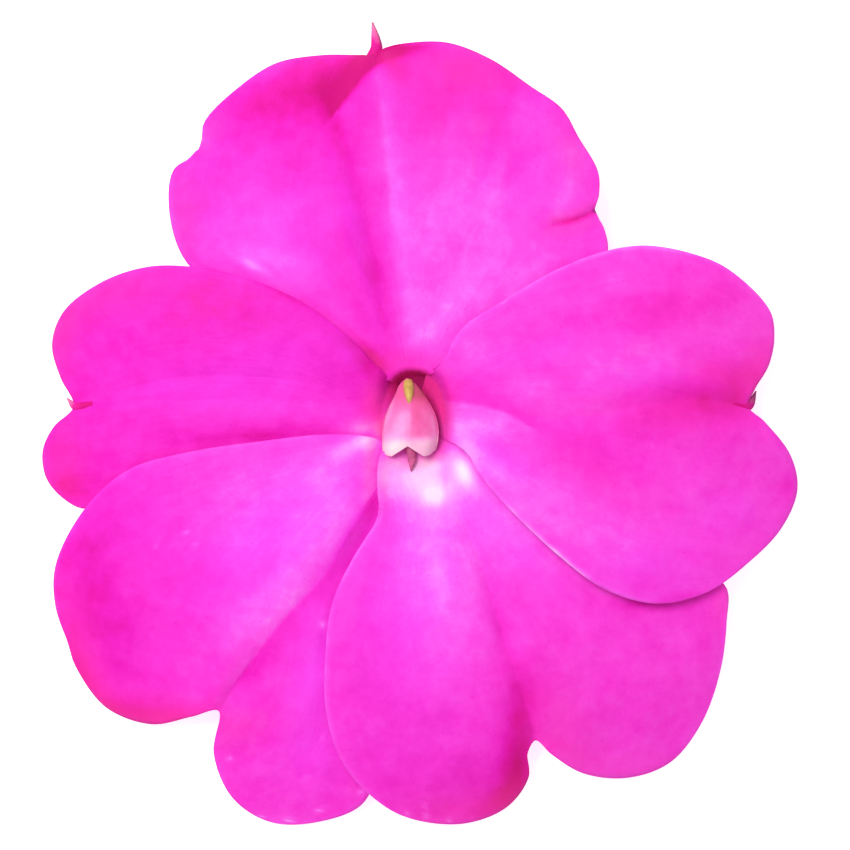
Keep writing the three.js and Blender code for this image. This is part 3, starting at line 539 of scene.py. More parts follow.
SPECKS = {
    "lower_left": [
        (-9.8, -30.1, 0.3), (-8.7, -32.9, 0.34), (-5, -31.2, 0.34), (-16.3, -28.4, 0.26),
        (-8.3, -26.5, 0.22), (-8.3, -16.9, 0.34), (-19.1, -10.3, 0.22), (-22.5, -10.4, 0.16),
        (-19.8, -9.2, 0.18), (-13.6, -33.5, 0.24), (-11.2, -33.8, 0.2),
    ],
    "lower_right": [
        (0.3, -32.4, 0.24), (0.4, -33.3, 0.3), (-1.2, -33.1, 0.22), (2.4, -33.8, 0.26), (4.4, -33.7, 0.2),
    ],
}
STEP_BLUR = 0.1


def ovals(zones, x, y):
    """The sum of soft ovals at each point."""
    tone = np.zeros_like(x)
    for cx, cy, half_length, half_width, turn, amount in zones:
        angle = math.radians(turn)
        dx, dy = x - cx, y - cy
        ahead = (dx * math.cos(angle) + dy * math.sin(angle)) / half_length
        aside = (dy * math.cos(angle) - dx * math.sin(angle)) / half_width
        tone += amount * np.exp(-(ahead**2 + aside**2))
    return tone


# The darker side of a step is partly painted shade, on the side of a fold that turns from the light.
def step_tone(steps, x, y):
    """A jump in colour along a line: one amount on its left, another on its right, both fading away."""
    tone = np.zeros_like(x)
    for points, left, right, reach in steps:
        away = fold_distance(points, x, y)
        tone += (left + (right - left) / (1 + np.exp(away / STEP_BLUR))) * np.exp(-((away / reach) ** 2))
    return tone


print(sum(len(z) for z in ZONES.values()), "zones")

# %% [markdown]
# Every organ's material is made of the same few nodes, so short helpers add them. A mark is a value that
# each corner of a mesh carries. Noise reads Object coordinates, and where it has to follow a surface as
# veins do, it is stretched along the piece's UV map. A ramp turns a number into a colour, and the same
# grain also makes the roughness and the bump.

# %% Helpers for materials
def node(tree, kind, links=None, **settings):
    """Adds a node, sets its properties, and fills its inputs with values or links."""
    made = tree.nodes.new(kind)
    for setting, value in settings.items():
        setattr(made, setting, value)
    for socket, value in (links or {}).items():
        if isinstance(value, bpy.types.NodeSocket):
            tree.links.new(value, made.inputs[socket])
        else:
            made.inputs[socket].default_value = value
    return made


def new_material(name, **sockets):
    """A material, its tree and its shader, with these constants on the shader's own sockets."""
    material = bpy.data.materials.new(name)
    material.use_nodes = True
    tree = material.node_tree
    shader = tree.nodes["Principled BSDF"]
    for socket, value in sockets.items():
        shader.inputs[socket.replace("_", " ")].default_value = value
    return material, tree, shader


def ramp(tree, factor, stops):
    made = node(tree, "ShaderNodeValToRGB", {0: factor})
    elements = made.color_ramp.elements
    while len(elements) < len(stops):
        elements.new(0.5)
    for element, (position, colour) in zip(elements, stops):
        element.position = position
        element.color = (*colour, 1)
    return made.outputs["Color"]


def maths(tree, operation, a, b=0.0, c=0.0):
    return node(tree, "ShaderNodeMath", {0: a, 1: b, 2: c}, operation=operation).outputs[0]


def times_plus(tree, value, factor, added):
    return maths(tree, "MULTIPLY_ADD", value, factor, added)


def where(tree, coordinates):
    return node(tree, "ShaderNodeTexCoord").outputs[coordinates]


def mark(tree, name):
    return node(tree, "ShaderNodeAttribute", attribute_name=name).outputs["Fac"]


def mix(tree, factor, first, second):
    return node(tree, "ShaderNodeMix", {0: factor, 6: first, 7: second}, data_type="RGBA").outputs[2]


def lengthwise(tree):
    """How far along its grid a point is, from 0 to 1."""
    return node(tree, "ShaderNodeSeparateXYZ", {0: where(tree, "UV")}).outputs["Y"]


def noise(tree, scale=1, detail=4, stretch=None, **inputs):
    """Noise of a scale on Object coordinates, or stretched across and along the UV map."""
    vector = where(tree, "UV" if stretch else "Object")
    if stretch:
        vector = node(tree, "ShaderNodeMapping", {"Vector": vector, "Scale": (*stretch, 1)}).outputs[0]
    return node(tree, "ShaderNodeTexNoise", {"Vector": vector, "Scale": scale, "Detail": detail,
                                             **inputs}).outputs["Fac"]


def skin(tree, shader, colour, grain, rough, bump, height=None):
    """Joins the colour, the roughness (how much grain, the least) and the bump (strength, depth in mm)."""
    tree.links.new(colour, shader.inputs["Base Color"])
    tree.links.new(times_plus(tree, grain, *rough), shader.inputs["Roughness"])
    relief = node(tree, "ShaderNodeBump", {"Height": grain if height is None else height,
                                           "Strength": bump[0], "Distance": bump[1] * MM})
    tree.links.new(relief.outputs[0], shader.inputs["Normal"])


# %% [markdown]
# One petal material serves all five. The tone mark moves the colour along a ramp from deep magenta over
# pink and lilac to white; as the tone holds painted light and shade, the ramp's deep end also serves as
# painted shade and its lilac and white end as a painted sheen. Veins that fan out from the claw, noise in
# two sizes and tiny dark pits break the colour up, more where it is deep than where it is pale, because
# pale cells hide the grain. The violet mark cools the result, and the crimson mark warms it. Veins, mottle
# and pores make the bump.

# %% The petal material
# The deep end of PINKS is also painted shade, and its lilac and white end is also a painted sheen.
PINKS = [
    (0.00, (0.5, 0.001, 0.165)), (0.15, (0.61, 0.002, 0.28)), (0.286, (0.7, 0.009, 0.43)),
    (0.44, (0.79, 0.028, 0.54)), (0.575, (0.82, 0.058, 0.615)), (0.68, (0.825, 0.11, 0.7)),
    (0.83, (0.83, 0.32, 0.81)), (1.00, (0.86, 0.74, 0.87)),
]
VIOLET, CRIMSON_PINK = (0.8, 0.06, 0.94, 1), (0.8, 0.032, 0.3, 1)
GRAIN = {"veins": 0.11, "mottle": 0.4, "patches": 0.32, "pits": -0.12, "pit_radius": 0.06, "mean": 0.415}
SHADE = {"middle": 0.42, "spread": 0.68, "least": 0.15}

petal_material, tree, shader = new_material(
    "petal_satin", Specular_IOR_Level=0.08, Subsurface_Weight=0.12, Subsurface_Radius=(1.0, 0.35, 0.7),
    Subsurface_Scale=0.8 * MM)
tone = mark(tree, "tone")
veins = noise(tree, stretch=(40, 4.5), Roughness=0.55, Distortion=0.4)
mottle = noise(tree, 620, Roughness=0.62)
patches = noise(tree, 210, 3)
pores = noise(tree, 3200, 2)
pits = node(tree, "ShaderNodeTexVoronoi", {"Vector": where(tree, "Object"), "Scale": 620,
                                           "Randomness": 1.0}).outputs["Distance"]
speckle = maths(tree, "MULTIPLY", maths(tree, "LESS_THAN", pits, GRAIN["pit_radius"]), GRAIN["pits"])
grain = times_plus(tree, veins, GRAIN["veins"], times_plus(tree, mottle, GRAIN["mottle"], speckle))
grain = maths(tree, "SUBTRACT", times_plus(tree, patches, GRAIN["patches"], grain), GRAIN["mean"])
calm = node(tree, "ShaderNodeMapRange", {"Value": tone, "From Min": 0.2, "From Max": 0.7, "To Min": 1.0,
                                         "To Max": 0.35}).outputs[0]
shade = times_plus(tree, grain, calm, maths(tree, "ADD", tone, SHADE["middle"]))
shade = times_plus(tree, shade, SHADE["spread"], SHADE["least"])
cooler = mix(tree, mark(tree, "violet"), ramp(tree, shade, PINKS), VIOLET)
height = times_plus(tree, veins, 0.4, times_plus(tree, mottle, 0.9, maths(tree, "MULTIPLY", pores, 0.2)))
skin(tree, shader, mix(tree, mark(tree, "crimson"), cooler, CRIMSON_PINK), mottle,
     rough=(0.2, 0.42), bump=(0.6, 0.2), height=height)
print("material", petal_material.name)

# %% [markdown]
# Now the five petals are made. The two petals of a side are grown together in the claw, so both stand
# for the one solid of that wing. The marks are worked out at each corner of the grid: the tone from the
# zones, steps and specks, with their painted light and shade, a pale uneven line along the side edges,
# where the blade is thin and where a painted highlight stands for the edge catching the light, and
# crimson down the throat's wall, deepest on its upper side, which is partly painted shade. The body mark
# is the blade's thickness, and Solidify follows it to the margin.

# %% The five petals
NODES = {"dorsal": "dorsal_petal", "upper_left": "left_wing_petals", "lower_left": "left_wing_petals",
         "lower_right": "right_wing_petals", "upper_right": "right_wing_petals"}
BLADE = {"across": 150, "along": 90, "relax": 60, "thickness": 0.42, "edge": 0.35, "bevel": 0.12}
# The rim is partly a painted highlight along the side edges, where they catch the light.
RIM = {"width": 0.34, "uneven": 0.5, "finer": 2.6, "shift": 0.4}
SPECK = 0.42
# The crimson is deepest on the throat's upper wall, partly as painted shade of the deep throat.
CRIMSON = {"width": 0.32, "towards": 75, "least": 0.32, "spread": 1.3}
INSIDE = 0.001


def throat_reach(x, y):
    """How far outside the throat's outline a point is, in millimetres, and in which direction."""
    dx, dy, reach = from_throat(x, y)
    return np.hypot(dx, dy) * (1 - 1 / np.maximum(reach, 0.05)), np.arctan2(dy, dx)


def petal_marks(name, petal):
    def marks(u, row, points):
        v = outward(row)
        x, y = points[:, 0], points[:, 1]
        edge = np.minimum(np.minimum(u, 1 - u) * 2.2, 1 - v)
        body = BLADE["edge"] + (1 - BLADE["edge"]) * np.clip(edge / BLADE["bevel"], 0, 1) ** 0.6
        specks = [(cx, cy, radius, radius, 0, SPECK) for cx, cy, radius in SPECKS.get(name, ())]
        # The tone holds the petal's own paler and deeper pink together with painted light and shade.
        tone = petal["base_tone"] + ovals(ZONES[name] + specks, x, y)
        tone += step_tone(petal.get("steps", ()), x, y)
        side = petal_patch(petal, np.round(u), v)
        from_side = np.hypot(x - side[:, 0], y - side[:, 1])
        rim = petal["rim"] * (1 + RIM["uneven"] * uneven(RIM["finer"] * x, RIM["finer"] * y, RIM["shift"]))
        tone += rim * np.exp(-((from_side / RIM["width"]) ** 2)) * np.minimum(1, 4 * v)
        outside, direction = throat_reach(x, y)
        facing = CRIMSON["least"] + (1 - CRIMSON["least"]) * np.clip(
            CRIMSON["spread"] * np.cos(direction - math.radians(CRIMSON["towards"])), 0, 1)
        crimson = facing * np.exp(-(np.maximum(outside, 0) / (CRIMSON["width"] / facing**0.6)) ** 2)
        warmth = ovals(WARMTH[name], x, y)
        return {"tone": tone, "crimson": np.clip(crimson + warmth, 0, 1), "violet": np.clip(-warmth, 0, 1),
                "body": body}
    return marks


def loose_inside(u, row):
    """The corners of the grid that smooth_vert may move: neither the margin nor the claw."""
    return (u > INSIDE) & (u < 1 - INSIDE) & (row > CLAW["rows"] + INSIDE) & (row < 1 - INSIDE)


BLADES = {}
for shift, (name, petal) in enumerate(PETALS.items()):
    mesh = grid_mesh(
        "petal_" + name, BLADE["across"], BLADE["along"],
        lambda u, row: petal_patch(petal, u, outward(row)), petal_marks(name, petal), BLADE["relax"],
        loose_inside, petal_relief(petal, 1.7 * shift))
    mesh.materials.append(petal_material)
    piece = link("petal_" + name, mesh, node=NODES[name], slot="petal")
    BLADES[name] = np.array([v.co for v in mesh.vertices]) / MM
    group = piece.vertex_groups.new(name="body")
    for k, value in enumerate(mesh.attributes["body"].data):
        group.add([k], value.value, "REPLACE")
    solid = piece.modifiers.new("blade", "SOLIDIFY")
    solid.thickness = BLADE["thickness"] * MM
    solid.offset = 0
    solid.vertex_group = "body"
    print(piece.name, len(mesh.polygons), "faces")

# %% [markdown]
# The keel, the spur, the stalk and the stamens are all rods whose section changes along a line. Such a
# rod is a grid rolled up: u goes round it, v goes along it, its two long edges are merged, and the first
# and last rows close on a point. A tapered curve could make it too, but a grid lets the section be any
# shape and brings its UV map along.

# %% A rolled-up grid
UP, ACROSS = (0, 0, 1.0), (1.0, 0, 0)
SEAM = 0.0005


def frame_along(line, sideways=None):
    """The side and up directions at each point of a line. The side is level, or leans to sideways."""
    tangent = np.gradient(line, axis=0)
    tangent /= np.linalg.norm(tangent, axis=1)[:, None]
    if sideways is None:
        side = np.cross(tangent, UP)
    else:
        side = np.array(sideways) - tangent * (tangent @ np.array(sideways))[:, None]
    side /= np.linalg.norm(side, axis=1)[:, None]
    return side, np.cross(side, tangent)


def ring(centre, side, up, half, angle, swell=1):
    """Points at these angles on the oval rings round a line."""
    return (centre + side * (half[:, 0] * np.cos(angle) * swell)[:, None]
            + up * (half[:, 1] * np.sin(angle) * swell)[:, None])


def rod_place(points, sections, sideways=None, shape=None, ends=(0.04, 0.04)):
    """place(u, v) for a rod along the points, with half widths and half heights, closed at both ends."""
    line, run = smooth_line(points, ROD_STEPS)
    section, _ = smooth_line(sections, ROD_STEPS)
    side, up = frame_along(line, sideways)
    first, last = ends

    def place(u, v):
        inside = np.clip((v - first) / (1 - first - last), 0, 1)
        closing = np.minimum(np.clip(v / first, 0, 1), np.clip((1 - v) / last, 0, 1))
        half = pick(section, inside * (len(section) - 1)) * np.sqrt(closing)[:, None]
        angle = 2 * np.pi * u
        return ring(along(line, run, inside), along(side, run, inside), along(up, run, inside), half, angle,
                    shape(angle) if shape else 1)
    return place


def rod(name, material, around, rows, place, marks=None, open_past=None, **standing):
    """The rolled-up grid as a finished piece: its seam and ends merged, an open end past x filled."""
    mesh = grid_mesh(name, around, rows, place, marks)
    bm = bmesh.new()
    bm.from_mesh(mesh)
    bmesh.ops.remove_doubles(bm, verts=bm.verts, dist=SEAM * MM)
    if open_past is not None:
        tip = [e for e in bm.edges if e.is_boundary and e.verts[0].co.x > open_past * MM]
        bmesh.ops.holes_fill(bm, edges=tip, sides=0)
    bmesh.ops.recalc_face_normals(bm, faces=bm.faces)
    bm.to_mesh(mesh)
    bm.free()
    mesh.materials.append(material)
    piece = link(name, mesh, **standing)
    print(name, len(mesh.polygons), "faces")
    return piece


# %% [markdown]
# The standard has a narrow keel along its back, which ends past the notch in a small pointed horn. The
# horn is a rod of its own, because it is broad and flat, and it is darker on its right side and at its
# tip. Each wing has a tiny point in its upper petal's notch, and the right wing's point is darker too.
# A ramp along the UV map takes the colour from the blade's pink to a paler rose, because these ends stayed
# outside in the bud.

# %% Keel and points
keel_material, tree, shader = new_material("keel_rose", Roughness=0.5, Specular_IOR_Level=0.1)
grain = noise(tree, 900)
keel_colour = ramp(tree, times_plus(tree, grain, 0.25, lengthwise(tree)), [
    (0.5, (0.58, 0.002, 0.19)), (0.76, (0.7, 0.01, 0.29)), (0.86, (0.8, 0.11, 0.36)),
    (1.0, (0.76, 0.17, 0.36))])
skin(tree, shader, mix(tree, mark(tree, "darkening"), keel_colour, (0.11, 0.007, 0.055, 1)), grain,
     rough=(0.3, 0.4), bump=(0.4, 0.1))


def midrib(name, share, down):
    """A point under the groove of a petal, a share of the way out along its fold."""
    x, y = along(*smooth_line(PETALS[name]["fold"]), np.array([share]))[0]
    blade = BLADES[name]
    z = blade[np.argmin(np.hypot(blade[:, 0] - x, blade[:, 1] - y)), 2]
    return (x, y, z - down)


# How much darker the horn is: on its right side and at its tip.
def horn_marks(u, v, points):
    right_side = 0.9 * np.clip(3 * v - 0.9, 0, 1) * np.clip(2.2 * np.cos(2 * np.pi * u) - 1.2, 0, 1)
    return {"darkening": right_side + 0.5 * np.clip(8 * v - 7, 0, 1)}


rod("standard_keel", keel_material, 16, 90,
    rod_place([midrib("dorsal", share, 0.55) for share in (0.2, 0.4, 0.6, 0.8, 0.95)],
              [(0.12, 0.25), (0.35, 0.5), (0.42, 0.6), (0.5, 0.6), (0.6, 0.45)]),
    node="dorsal_petal", slot="petal")
rod("standard_horn", keel_material, 20, 40,
    rod_place([midrib("dorsal", 0.93, 0.75), (-3.95, 31.2, 1.1), (-3.8, 32.2, 1.2), (-3.93, 33.2, 1.4),
               (-4.15, 34.3, 1.5)],
              [(0.55, 0.3), (0.9, 0.4), (0.56, 0.36), (0.36, 0.28), (0.08, 0.08)]),
    horn_marks, node="dorsal_petal", slot="petal")
for name, end, wing, darkening in (("upper_left", (-30.1, 2.2, 3.6), "left_wing_petals", 0.1),
                             ("upper_right", (28.5, 2.8, 3.4), "right_wing_petals", 0.85)):
    rod("point_" + name, keel_material, 12, 24,
        rod_place([midrib(name, 0.94, 0.1), midrib(name, 1.0, 0.05), end],
                  [(0.3, 0.28), (0.4, 0.3), (0.06, 0.06)]),
        lambda u, v, points: {"darkening": darkening * np.clip(2.5 * v - 1, 0, 1)}, node=wing, slot="petal")

# %% [markdown]
# Behind the face, the lower sepal makes a pouch, which narrows into a long thin spur full of nectar. The
# spur curves round under the lower petals. The rod's first rows are the pouch's flared mouth, which lies
# close under the petals' claws and stays open, and the inside mark colours it crimson there. Past the
# bend the rings are kept level, so that the spur doesn't twist.

# %% The pouch and its spur
POUCH = [  # centre x, y, z; half width, half height of the ring
    (-0.6, 0.35, 7.3, 4.1, 5.5), (-0.6, 0.3, 6.0, 3.5, 4.9), (-0.6, 0.2, 4.7, 3.3, 4.6),
    (-0.6, -0.5, 3.2, 3.1, 3.7), (-0.6, -2.0, 2.3, 2.5, 2.3), (-0.6, -4.2, 1.75, 1.75, 1.55),
    (-0.6, -6.4, 1.35, 1.2, 1.1), (-0.4, -10, 0.95, 0.85, 0.8), (1.6, -15, 0.8, 0.76, 0.7),
    (6, -19, 0.74, 0.68, 0.66), (12, -20.8, 0.68, 0.62, 0.6), (17.5, -19.6, 0.62, 0.56, 0.55),
    (20.6, -17.0, 0.58, 0.52, 0.5), (21.3, -16.2, 0.56, 0.3, 0.3),
]
SPUR = {"level_from": 7, "ribs": 9, "rib_height": 0.015, "ground": 0.05, "tip_past": 10}


def pouch_place(u, v):
    line, _ = smooth_line([row[:3] for row in POUCH], ROD_STEPS)
    section, _ = smooth_line([row[3:] for row in POUCH], ROD_STEPS)
    side, up = frame_along(line, ACROSS)
    k = v * (len(line) - 1)
    aside = pick(side, k)
    level = np.cross(pick(np.gradient(line, axis=0), k), UP)
    level /= np.linalg.norm(level, axis=1)[:, None] + 1e-9
    level *= np.where((level * aside).sum(1) < 0, -1, 1)[:, None]
    turn = np.clip(k / len(line) * len(POUCH) - SPUR["level_from"], 0, 1)[:, None]
    aside = aside * (1 - turn) + level * turn
    aside /= np.linalg.norm(aside, axis=1)[:, None]
    angle = 2 * np.pi * u
    point = ring(pick(line, k), aside, pick(up, k), pick(section, k), angle,
                 1 + SPUR["rib_height"] * np.cos(SPUR["ribs"] * angle))
    point[:, 2] = np.maximum(point[:, 2], SPUR["ground"])
    return point


pouch_material, tree, shader = new_material("pouch_rose", Roughness=0.5, Specular_IOR_Level=0.3)
veins = noise(tree, stretch=(26, 9))
outer = ramp(tree, veins, [(0.35, (0.72, 0.2, 0.34)), (0.5, (0.8, 0.38, 0.48)), (0.7, (0.84, 0.55, 0.55))])
inner = ramp(tree, veins, [(0.35, (0.3, 0.004, 0.04)), (0.65, (0.5, 0.012, 0.1))])
skin(tree, shader, mix(tree, mark(tree, "inside"), outer, inner), veins, rough=(0.3, 0.35), bump=(0.5, 0.15))

pouch = rod("pouch_and_spur", pouch_material, 72, 260, pouch_place,
            lambda u, v, points: {"inside": np.clip(1.6 - v * 6, 0, 1)}, SPUR["tip_past"],
            node="spurred_sepal", slot="pouch")
print("pouch", [round(c / MM, 1) for c in pouch.dimensions])

# %% [markdown]
# Two small green sepals stand at the back, beside the stalk. Each is a leaf: a grid whose width follows
# a pointed outline along a curved midline, cupped across, with a raised midrib. Its tip is reddened.

# %% The side sepals
SEPAL = {"spine": [(3.1, 0.9, 3.1), (5.7, 3.6, 3.5), (9.0, 5.4, 2.5)], "half": 1.55, "cup": 0.3,
         "rib": 0.12, "rib_width": 0.12, "thickness": 0.35}
RECEPTACLE = (-0.75, 4.45)

sepal_material, tree, shader = new_material("sepal_green", Roughness=0.5, Specular_IOR_Level=0.35)
veins = noise(tree, stretch=(16, 4))
green = ramp(tree, veins, [(0.35, (0.16, 0.27, 0.06)), (0.5, (0.27, 0.4, 0.11)), (0.68, (0.42, 0.52, 0.2))])
blush = maths(tree, "POWER", lengthwise(tree), 5.0)
skin(tree, shader, mix(tree, blush, green, (0.42, 0.12, 0.14, 1)), veins, rough=(0.3, 0.35), bump=(0.6, 0.15))


def sepal_place(way):
    """place(u, v) for the sepal on the left, way -1, or on the right, way 1."""
    line, run = smooth_line([(RECEPTACLE[0] + way * x, RECEPTACLE[1] + y, z) for x, y, z in SEPAL["spine"]],
                            ROD_STEPS)
    side, up = frame_along(line)

    def place(u, v):
        across = 2 * u - 1
        half = SEPAL["half"] * (0.35 + 0.65 * np.sin(np.pi * v**0.75)) * (1 - v**6)
        cup = (SEPAL["cup"] * across**2 * np.sin(np.pi * v)
               + SEPAL["rib"] * np.exp(-((across / SEPAL["rib_width"]) ** 2)) * (1 - v))
        return (along(line, run, v) + along(side, run, v) * (across * half)[:, None]
                + along(up, run, v) * cup[:, None])
    return place


for way, name in ((-1, "sepal_left"), (1, "sepal_right")):
    mesh = grid_mesh(name + "_leaf", 24, 40, sepal_place(way))
    mesh.materials.append(sepal_material)
    leaf = link(name + "_leaf", mesh, node=name, slot="sepal")
    wall = leaf.modifiers.new("wall", "SOLIDIFY")
    wall.thickness, wall.offset = SEPAL["thickness"] * MM, 0
    print(leaf.name, len(mesh.polygons), "faces")

# %% [markdown]
# The stalk swells into the receptacle, where all the organs sit. The rod's first sections are that
# swelling. Fine ridges run along it, and it is green with a red blush. Its far end is cut clean and pale,
# and the part that is seen down the throat is crimson.

# %% The stalk
STALK = {"line": [(-0.75, 2.6, 3.1), (-0.75, 4.4, 3.0), (-0.8, 6.3, 2.6), (-0.2, 8.2, 2.0), (2, 11.4, 1.35),
                  (5.4, 16, 1.0), (9.4, 21, 0.98)],
         "sections": [(1.2, 0.8), (2.6, 1.25), (1.7, 1.15), (1.0, 0.95), (0.88, 0.88), (0.86, 0.86),
                      (0.94, 0.92)],
         "ridges": 7, "ridge_height": 0.03, "cut_from": 0.988, "throat_floor": 3.2}

stalk_material, tree, shader = new_material("stalk_green", Roughness=0.45, Specular_IOR_Level=0.4)
streaks = noise(tree, stretch=(14, 5))
rind = ramp(tree, streaks, [
    (0.32, (0.36, 0.1, 0.1)), (0.45, (0.27, 0.33, 0.1)), (0.7, (0.44, 0.55, 0.22))])
with_cut = mix(tree, mark(tree, "cut"), rind, (0.62, 0.7, 0.42, 1))
skin(tree, shader, mix(tree, mark(tree, "within"), with_cut, (0.42, 0.01, 0.09, 1)), streaks,
     rough=(0.3, 0.3), bump=(0.5, 0.15))

rod("stalk", stalk_material, 40, 150,
    rod_place(STALK["line"], STALK["sections"], ends=(0.06, 0.012),
              shape=lambda angle: 1 + STALK["ridge_height"] * np.cos(STALK["ridges"] * angle)),
    lambda u, v, points: {"cut": np.clip((v - STALK["cut_from"]) / 0.004, 0, 1),
                          "within": np.clip((points[:, 2] - STALK["throat_floor"]) / 0.4, 0, 1)},
    node="flower_stalk", slot="stalk")

# %% [markdown]
# The column fills the throat. Five stamens are grown together into a cap over the pistil. Its outline
# is narrow at the top and wide below, where it ends in two pale lobes of pollen with a notch between.
# The left and right edges were placed against the photograph. A grid rolled up across the cap
# gives it a closed body: the upper half of each ring is the arched top, and the lower half is flat.

# %% The stamen cap
CAP_ROWS = [  # y, left edge x, right edge x, height of the crest
    (3.85, -1.25, -1.05, 8.3), (3.3, -1.83, -0.35, 8.8), (2.35, -2.25, 0.38, 9.3), (0.8, -3.0, 1.2, 9.95),
    (-0.4, -3.25, 1.48, 10.2), (-1.3, -3.28, 1.42, 10.2), (-2.0, -3.22, 1.25, 10.0),
]
CAP = {"rows": 0.86, "arch": 0.62, "shoulder": 0.25, "belly": 0.5, "middle": 0.2}
LOBES = {"from": 0.45, "notch": 0.06, "length": 0.86, "width": 0.6, "round": 0.42}
PUFFS = [(-2.4, -1.9, 0.7, 0.7, 0, 0.22), (0.6, -1.8, 0.7, 0.7, 0, 0.22)]  # ovals that rise, in millimetres


def cap_place(u, v):
    rows, _ = smooth_line(CAP_ROWS, ROD_STEPS)
    t = np.clip(v / CAP["rows"], 0, 1)
    y, left, right, crest = pick(rows, t * (len(rows) - 1)).T
    angle = 2 * np.pi * u
    across, top = np.cos(angle), np.sin(angle) > 0
    arch = np.abs(np.sin(angle))
    half = (right - left) / 2
    x = (left + right) / 2 + half * across
    aside = np.abs(across + LOBES["notch"])
    lobe = (LOBES["length"] * np.minimum(1, aside / LOBES["width"])
            - 0.5 * np.clip((aside - LOBES["width"]) / LOBES["round"], 0, 1) ** 2)
    reach = np.clip((t - LOBES["from"]) / (1 - LOBES["from"]), 0, 1) ** 1.5
    y = y + 0.12 * reach - lobe * reach
    base = crest - half * CAP["arch"]
    upper = base + half * CAP["arch"] * arch**0.9 - CAP["shoulder"] * np.abs(across) * half * top
    middle = base - CAP["middle"]
    shrink = np.where(v > CAP["rows"], np.sqrt(np.clip((1 - v) / (1 - CAP["rows"]), 0, 1)), 1)
    z = middle + (np.where(top, upper + ovals(PUFFS, x, y), base - CAP["belly"] * arch) - middle) * shrink
    return np.stack([x, y, z], -1)


# %% [markdown]
# The cap's pink fades to the white of pollen below a slanting line, and its zones are ovals as on the
# petals. Its left lobe, which faces the light, is paler than the right one as painted light. The light
# goes a little way into it, as it does into the petals.

# %% The cap's colour
# The first two ovals are the pollen lobes; the left one is paler as painted light.
CAP_ZONES = [
    (-2.4, -2.0, 1.6, 1.1, 0, 0.42), (0.7, -2.0, 1.2, 1.0, 0, 0.17), (-2.2, 0.0, 1.3, 0.9, 90, 0.08),
    (-1.5, 0.2, 1.3, 0.7, 70, 0.16), (-2.75, 0.9, 2.0, 0.22, 74, 0.18), (0.3, 0.5, 1.8, 0.6, 105, 0.05),
    (-0.2, 3.0, 1.2, 0.7, 120, -0.3), (-0.9, 2.8, 1.2, 1.0, 0, -0.16), (1.15, -0.3, 1.8, 0.28, 100, 0.16),
    (-0.4, 1.0, 1.0, 0.4, 100, -0.08),
]
POLLEN = {"pale": 0.26, "line": 1.25, "slant": 0.12, "blur": 0.14}

cap_material, tree, shader = new_material(
    "stamen_blush", Specular_IOR_Level=0.25, Subsurface_Weight=0.2, Subsurface_Radius=(1.0, 0.6, 0.7),
    Subsurface_Scale=0.6 * MM)
grain = noise(tree, 1500)
shade = maths(tree, "ADD", times_plus(tree, grain, 0.16, mark(tree, "tone")), 0.2)
blushes = ramp(tree, shade, [
    (0.00, (0.52, 0.07, 0.15)), (0.15, (0.7, 0.08, 0.25)), (0.3, (0.8, 0.11, 0.38)),
    (0.52, (0.87, 0.28, 0.6)), (0.75, (0.87, 0.46, 0.63)), (1.00, (0.88, 0.66, 0.69))])
skin(tree, shader, blushes, grain, rough=(0.3, 0.35), bump=(0.3, 0.08))


def cap_marks(u, v, points):
    x, y = points[:, 0], points[:, 1]
    below = 1 / (1 + np.exp((y + POLLEN["line"] - POLLEN["slant"] * x) / POLLEN["blur"]))
    return {"tone": ovals(CAP_ZONES, x, y) + POLLEN["pale"] * below}


rod("stamen_cap", cap_material, 96, 90, cap_place, cap_marks, node="stamen_column", slot="stamens")

# %% [markdown]
# Below the cap the filaments go down to the receptacle as one five-ribbed stem.

# %% The filaments
rod("stamen_filaments", cap_material, 60, 50,
    rod_place([(-1.0, 1.9, 4.4), (-1.05, 2.1, 6.0), (-1.05, 2.0, 7.4), (-1.0, 1.4, 8.4)],
              [(0.95, 0.75), (0.95, 0.7), (1.0, 0.75), (0.9, 0.5)], ACROSS,
              lambda angle: 1 + 0.08 * np.cos(5 * angle)),
    lambda u, v, points: {"tone": 0.1 + 0.3 * v}, node="stamen_column", slot="stamens")

# %% [markdown]
# The pistil shows in two places: its green ovary as a yellow-green drop at the head of the column, and
# its dark pointed tip in the notch below. One material serves both, and the mauve mark chooses between
# its two colours.

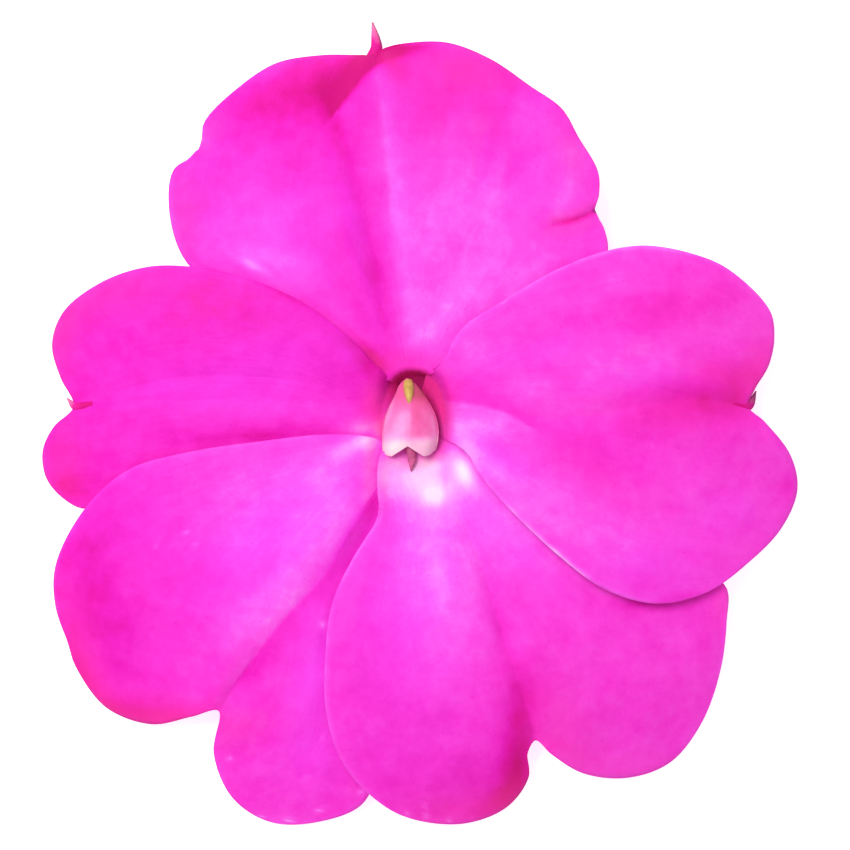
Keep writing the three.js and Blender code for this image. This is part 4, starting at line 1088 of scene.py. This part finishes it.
# %% The pistil
pistil_material, tree, shader = new_material("pistil_skin", Specular_IOR_Level=0.4)
grain = noise(tree, 1700, 3)
green = ramp(tree, grain, [(0.35, (0.38, 0.24, 0.05)), (0.6, (0.56, 0.36, 0.085))])
dark = ramp(tree, grain, [(0.35, (0.36, 0.04, 0.16)), (0.65, (0.6, 0.1, 0.27))])
skin(tree, shader, mix(tree, mark(tree, "mauve"), green, dark), grain, rough=(0.3, 0.3), bump=(0.3, 0.08))

rod("pistil_ovary", pistil_material, 24, 40,
    rod_place([(-1.08, 3.65, 8.4), (-1.04, 3.05, 8.85), (-1.0, 2.35, 9.25), (-0.98, 1.6, 9.5)],
              [(0.36, 0.25), (0.44, 0.33), (0.34, 0.3), (0.06, 0.06)], ACROSS),
    lambda u, v, points: {"mauve": np.zeros_like(u)}, node="pistil", slot="pistil")
rod("pistil_tip", pistil_material, 24, 40,
    rod_place([(-0.95, -1.2, 8.9), (-0.88, -2.2, 9.0), (-0.76, -3.0, 8.95), (-0.82, -4.0, 8.8)],
              [(0.5, 0.4), (0.42, 0.36), (0.34, 0.28), (0.05, 0.05)], ACROSS),
    lambda u, v, points: {"mauve": np.ones_like(u)}, node="pistil", slot="pistil")

# %% [markdown]
# The table is plain white and a little brighter than the light alone makes it, so that it stays white
# in the picture while a faint shadow still grounds the flower.

# %% The table
TABLE = {"half": 2.0, "white": 0.78, "glow": 0.68}

bm = bmesh.new()
bmesh.ops.create_grid(bm, x_segments=1, y_segments=1, size=TABLE["half"])
mesh = bpy.data.meshes.new("table")
bm.to_mesh(mesh)
bm.free()
white, tree, shader = new_material(
    "white_table", Roughness=0.8, Base_Color=(TABLE["white"], TABLE["white"], TABLE["white"], 1),
    Emission_Color=(1, 1, 1, 1), Emission_Strength=TABLE["glow"])
mesh.materials.append(white)
table = bpy.data.objects.new("table", mesh)
scene.collection.objects.link(table)
table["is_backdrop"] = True
print("table", round(2 * TABLE["half"]), "m wide")

# %% [markdown]
# The last cell writes both boxes, so that the size of the dressed flower can be set against the solids.

# %% Sizes
visual_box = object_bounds()
for name, box in (("solids", solids_box), ("flower", visual_box)):
    print(name, [[round(c / MM, 2) for c in corner] for corner in box])
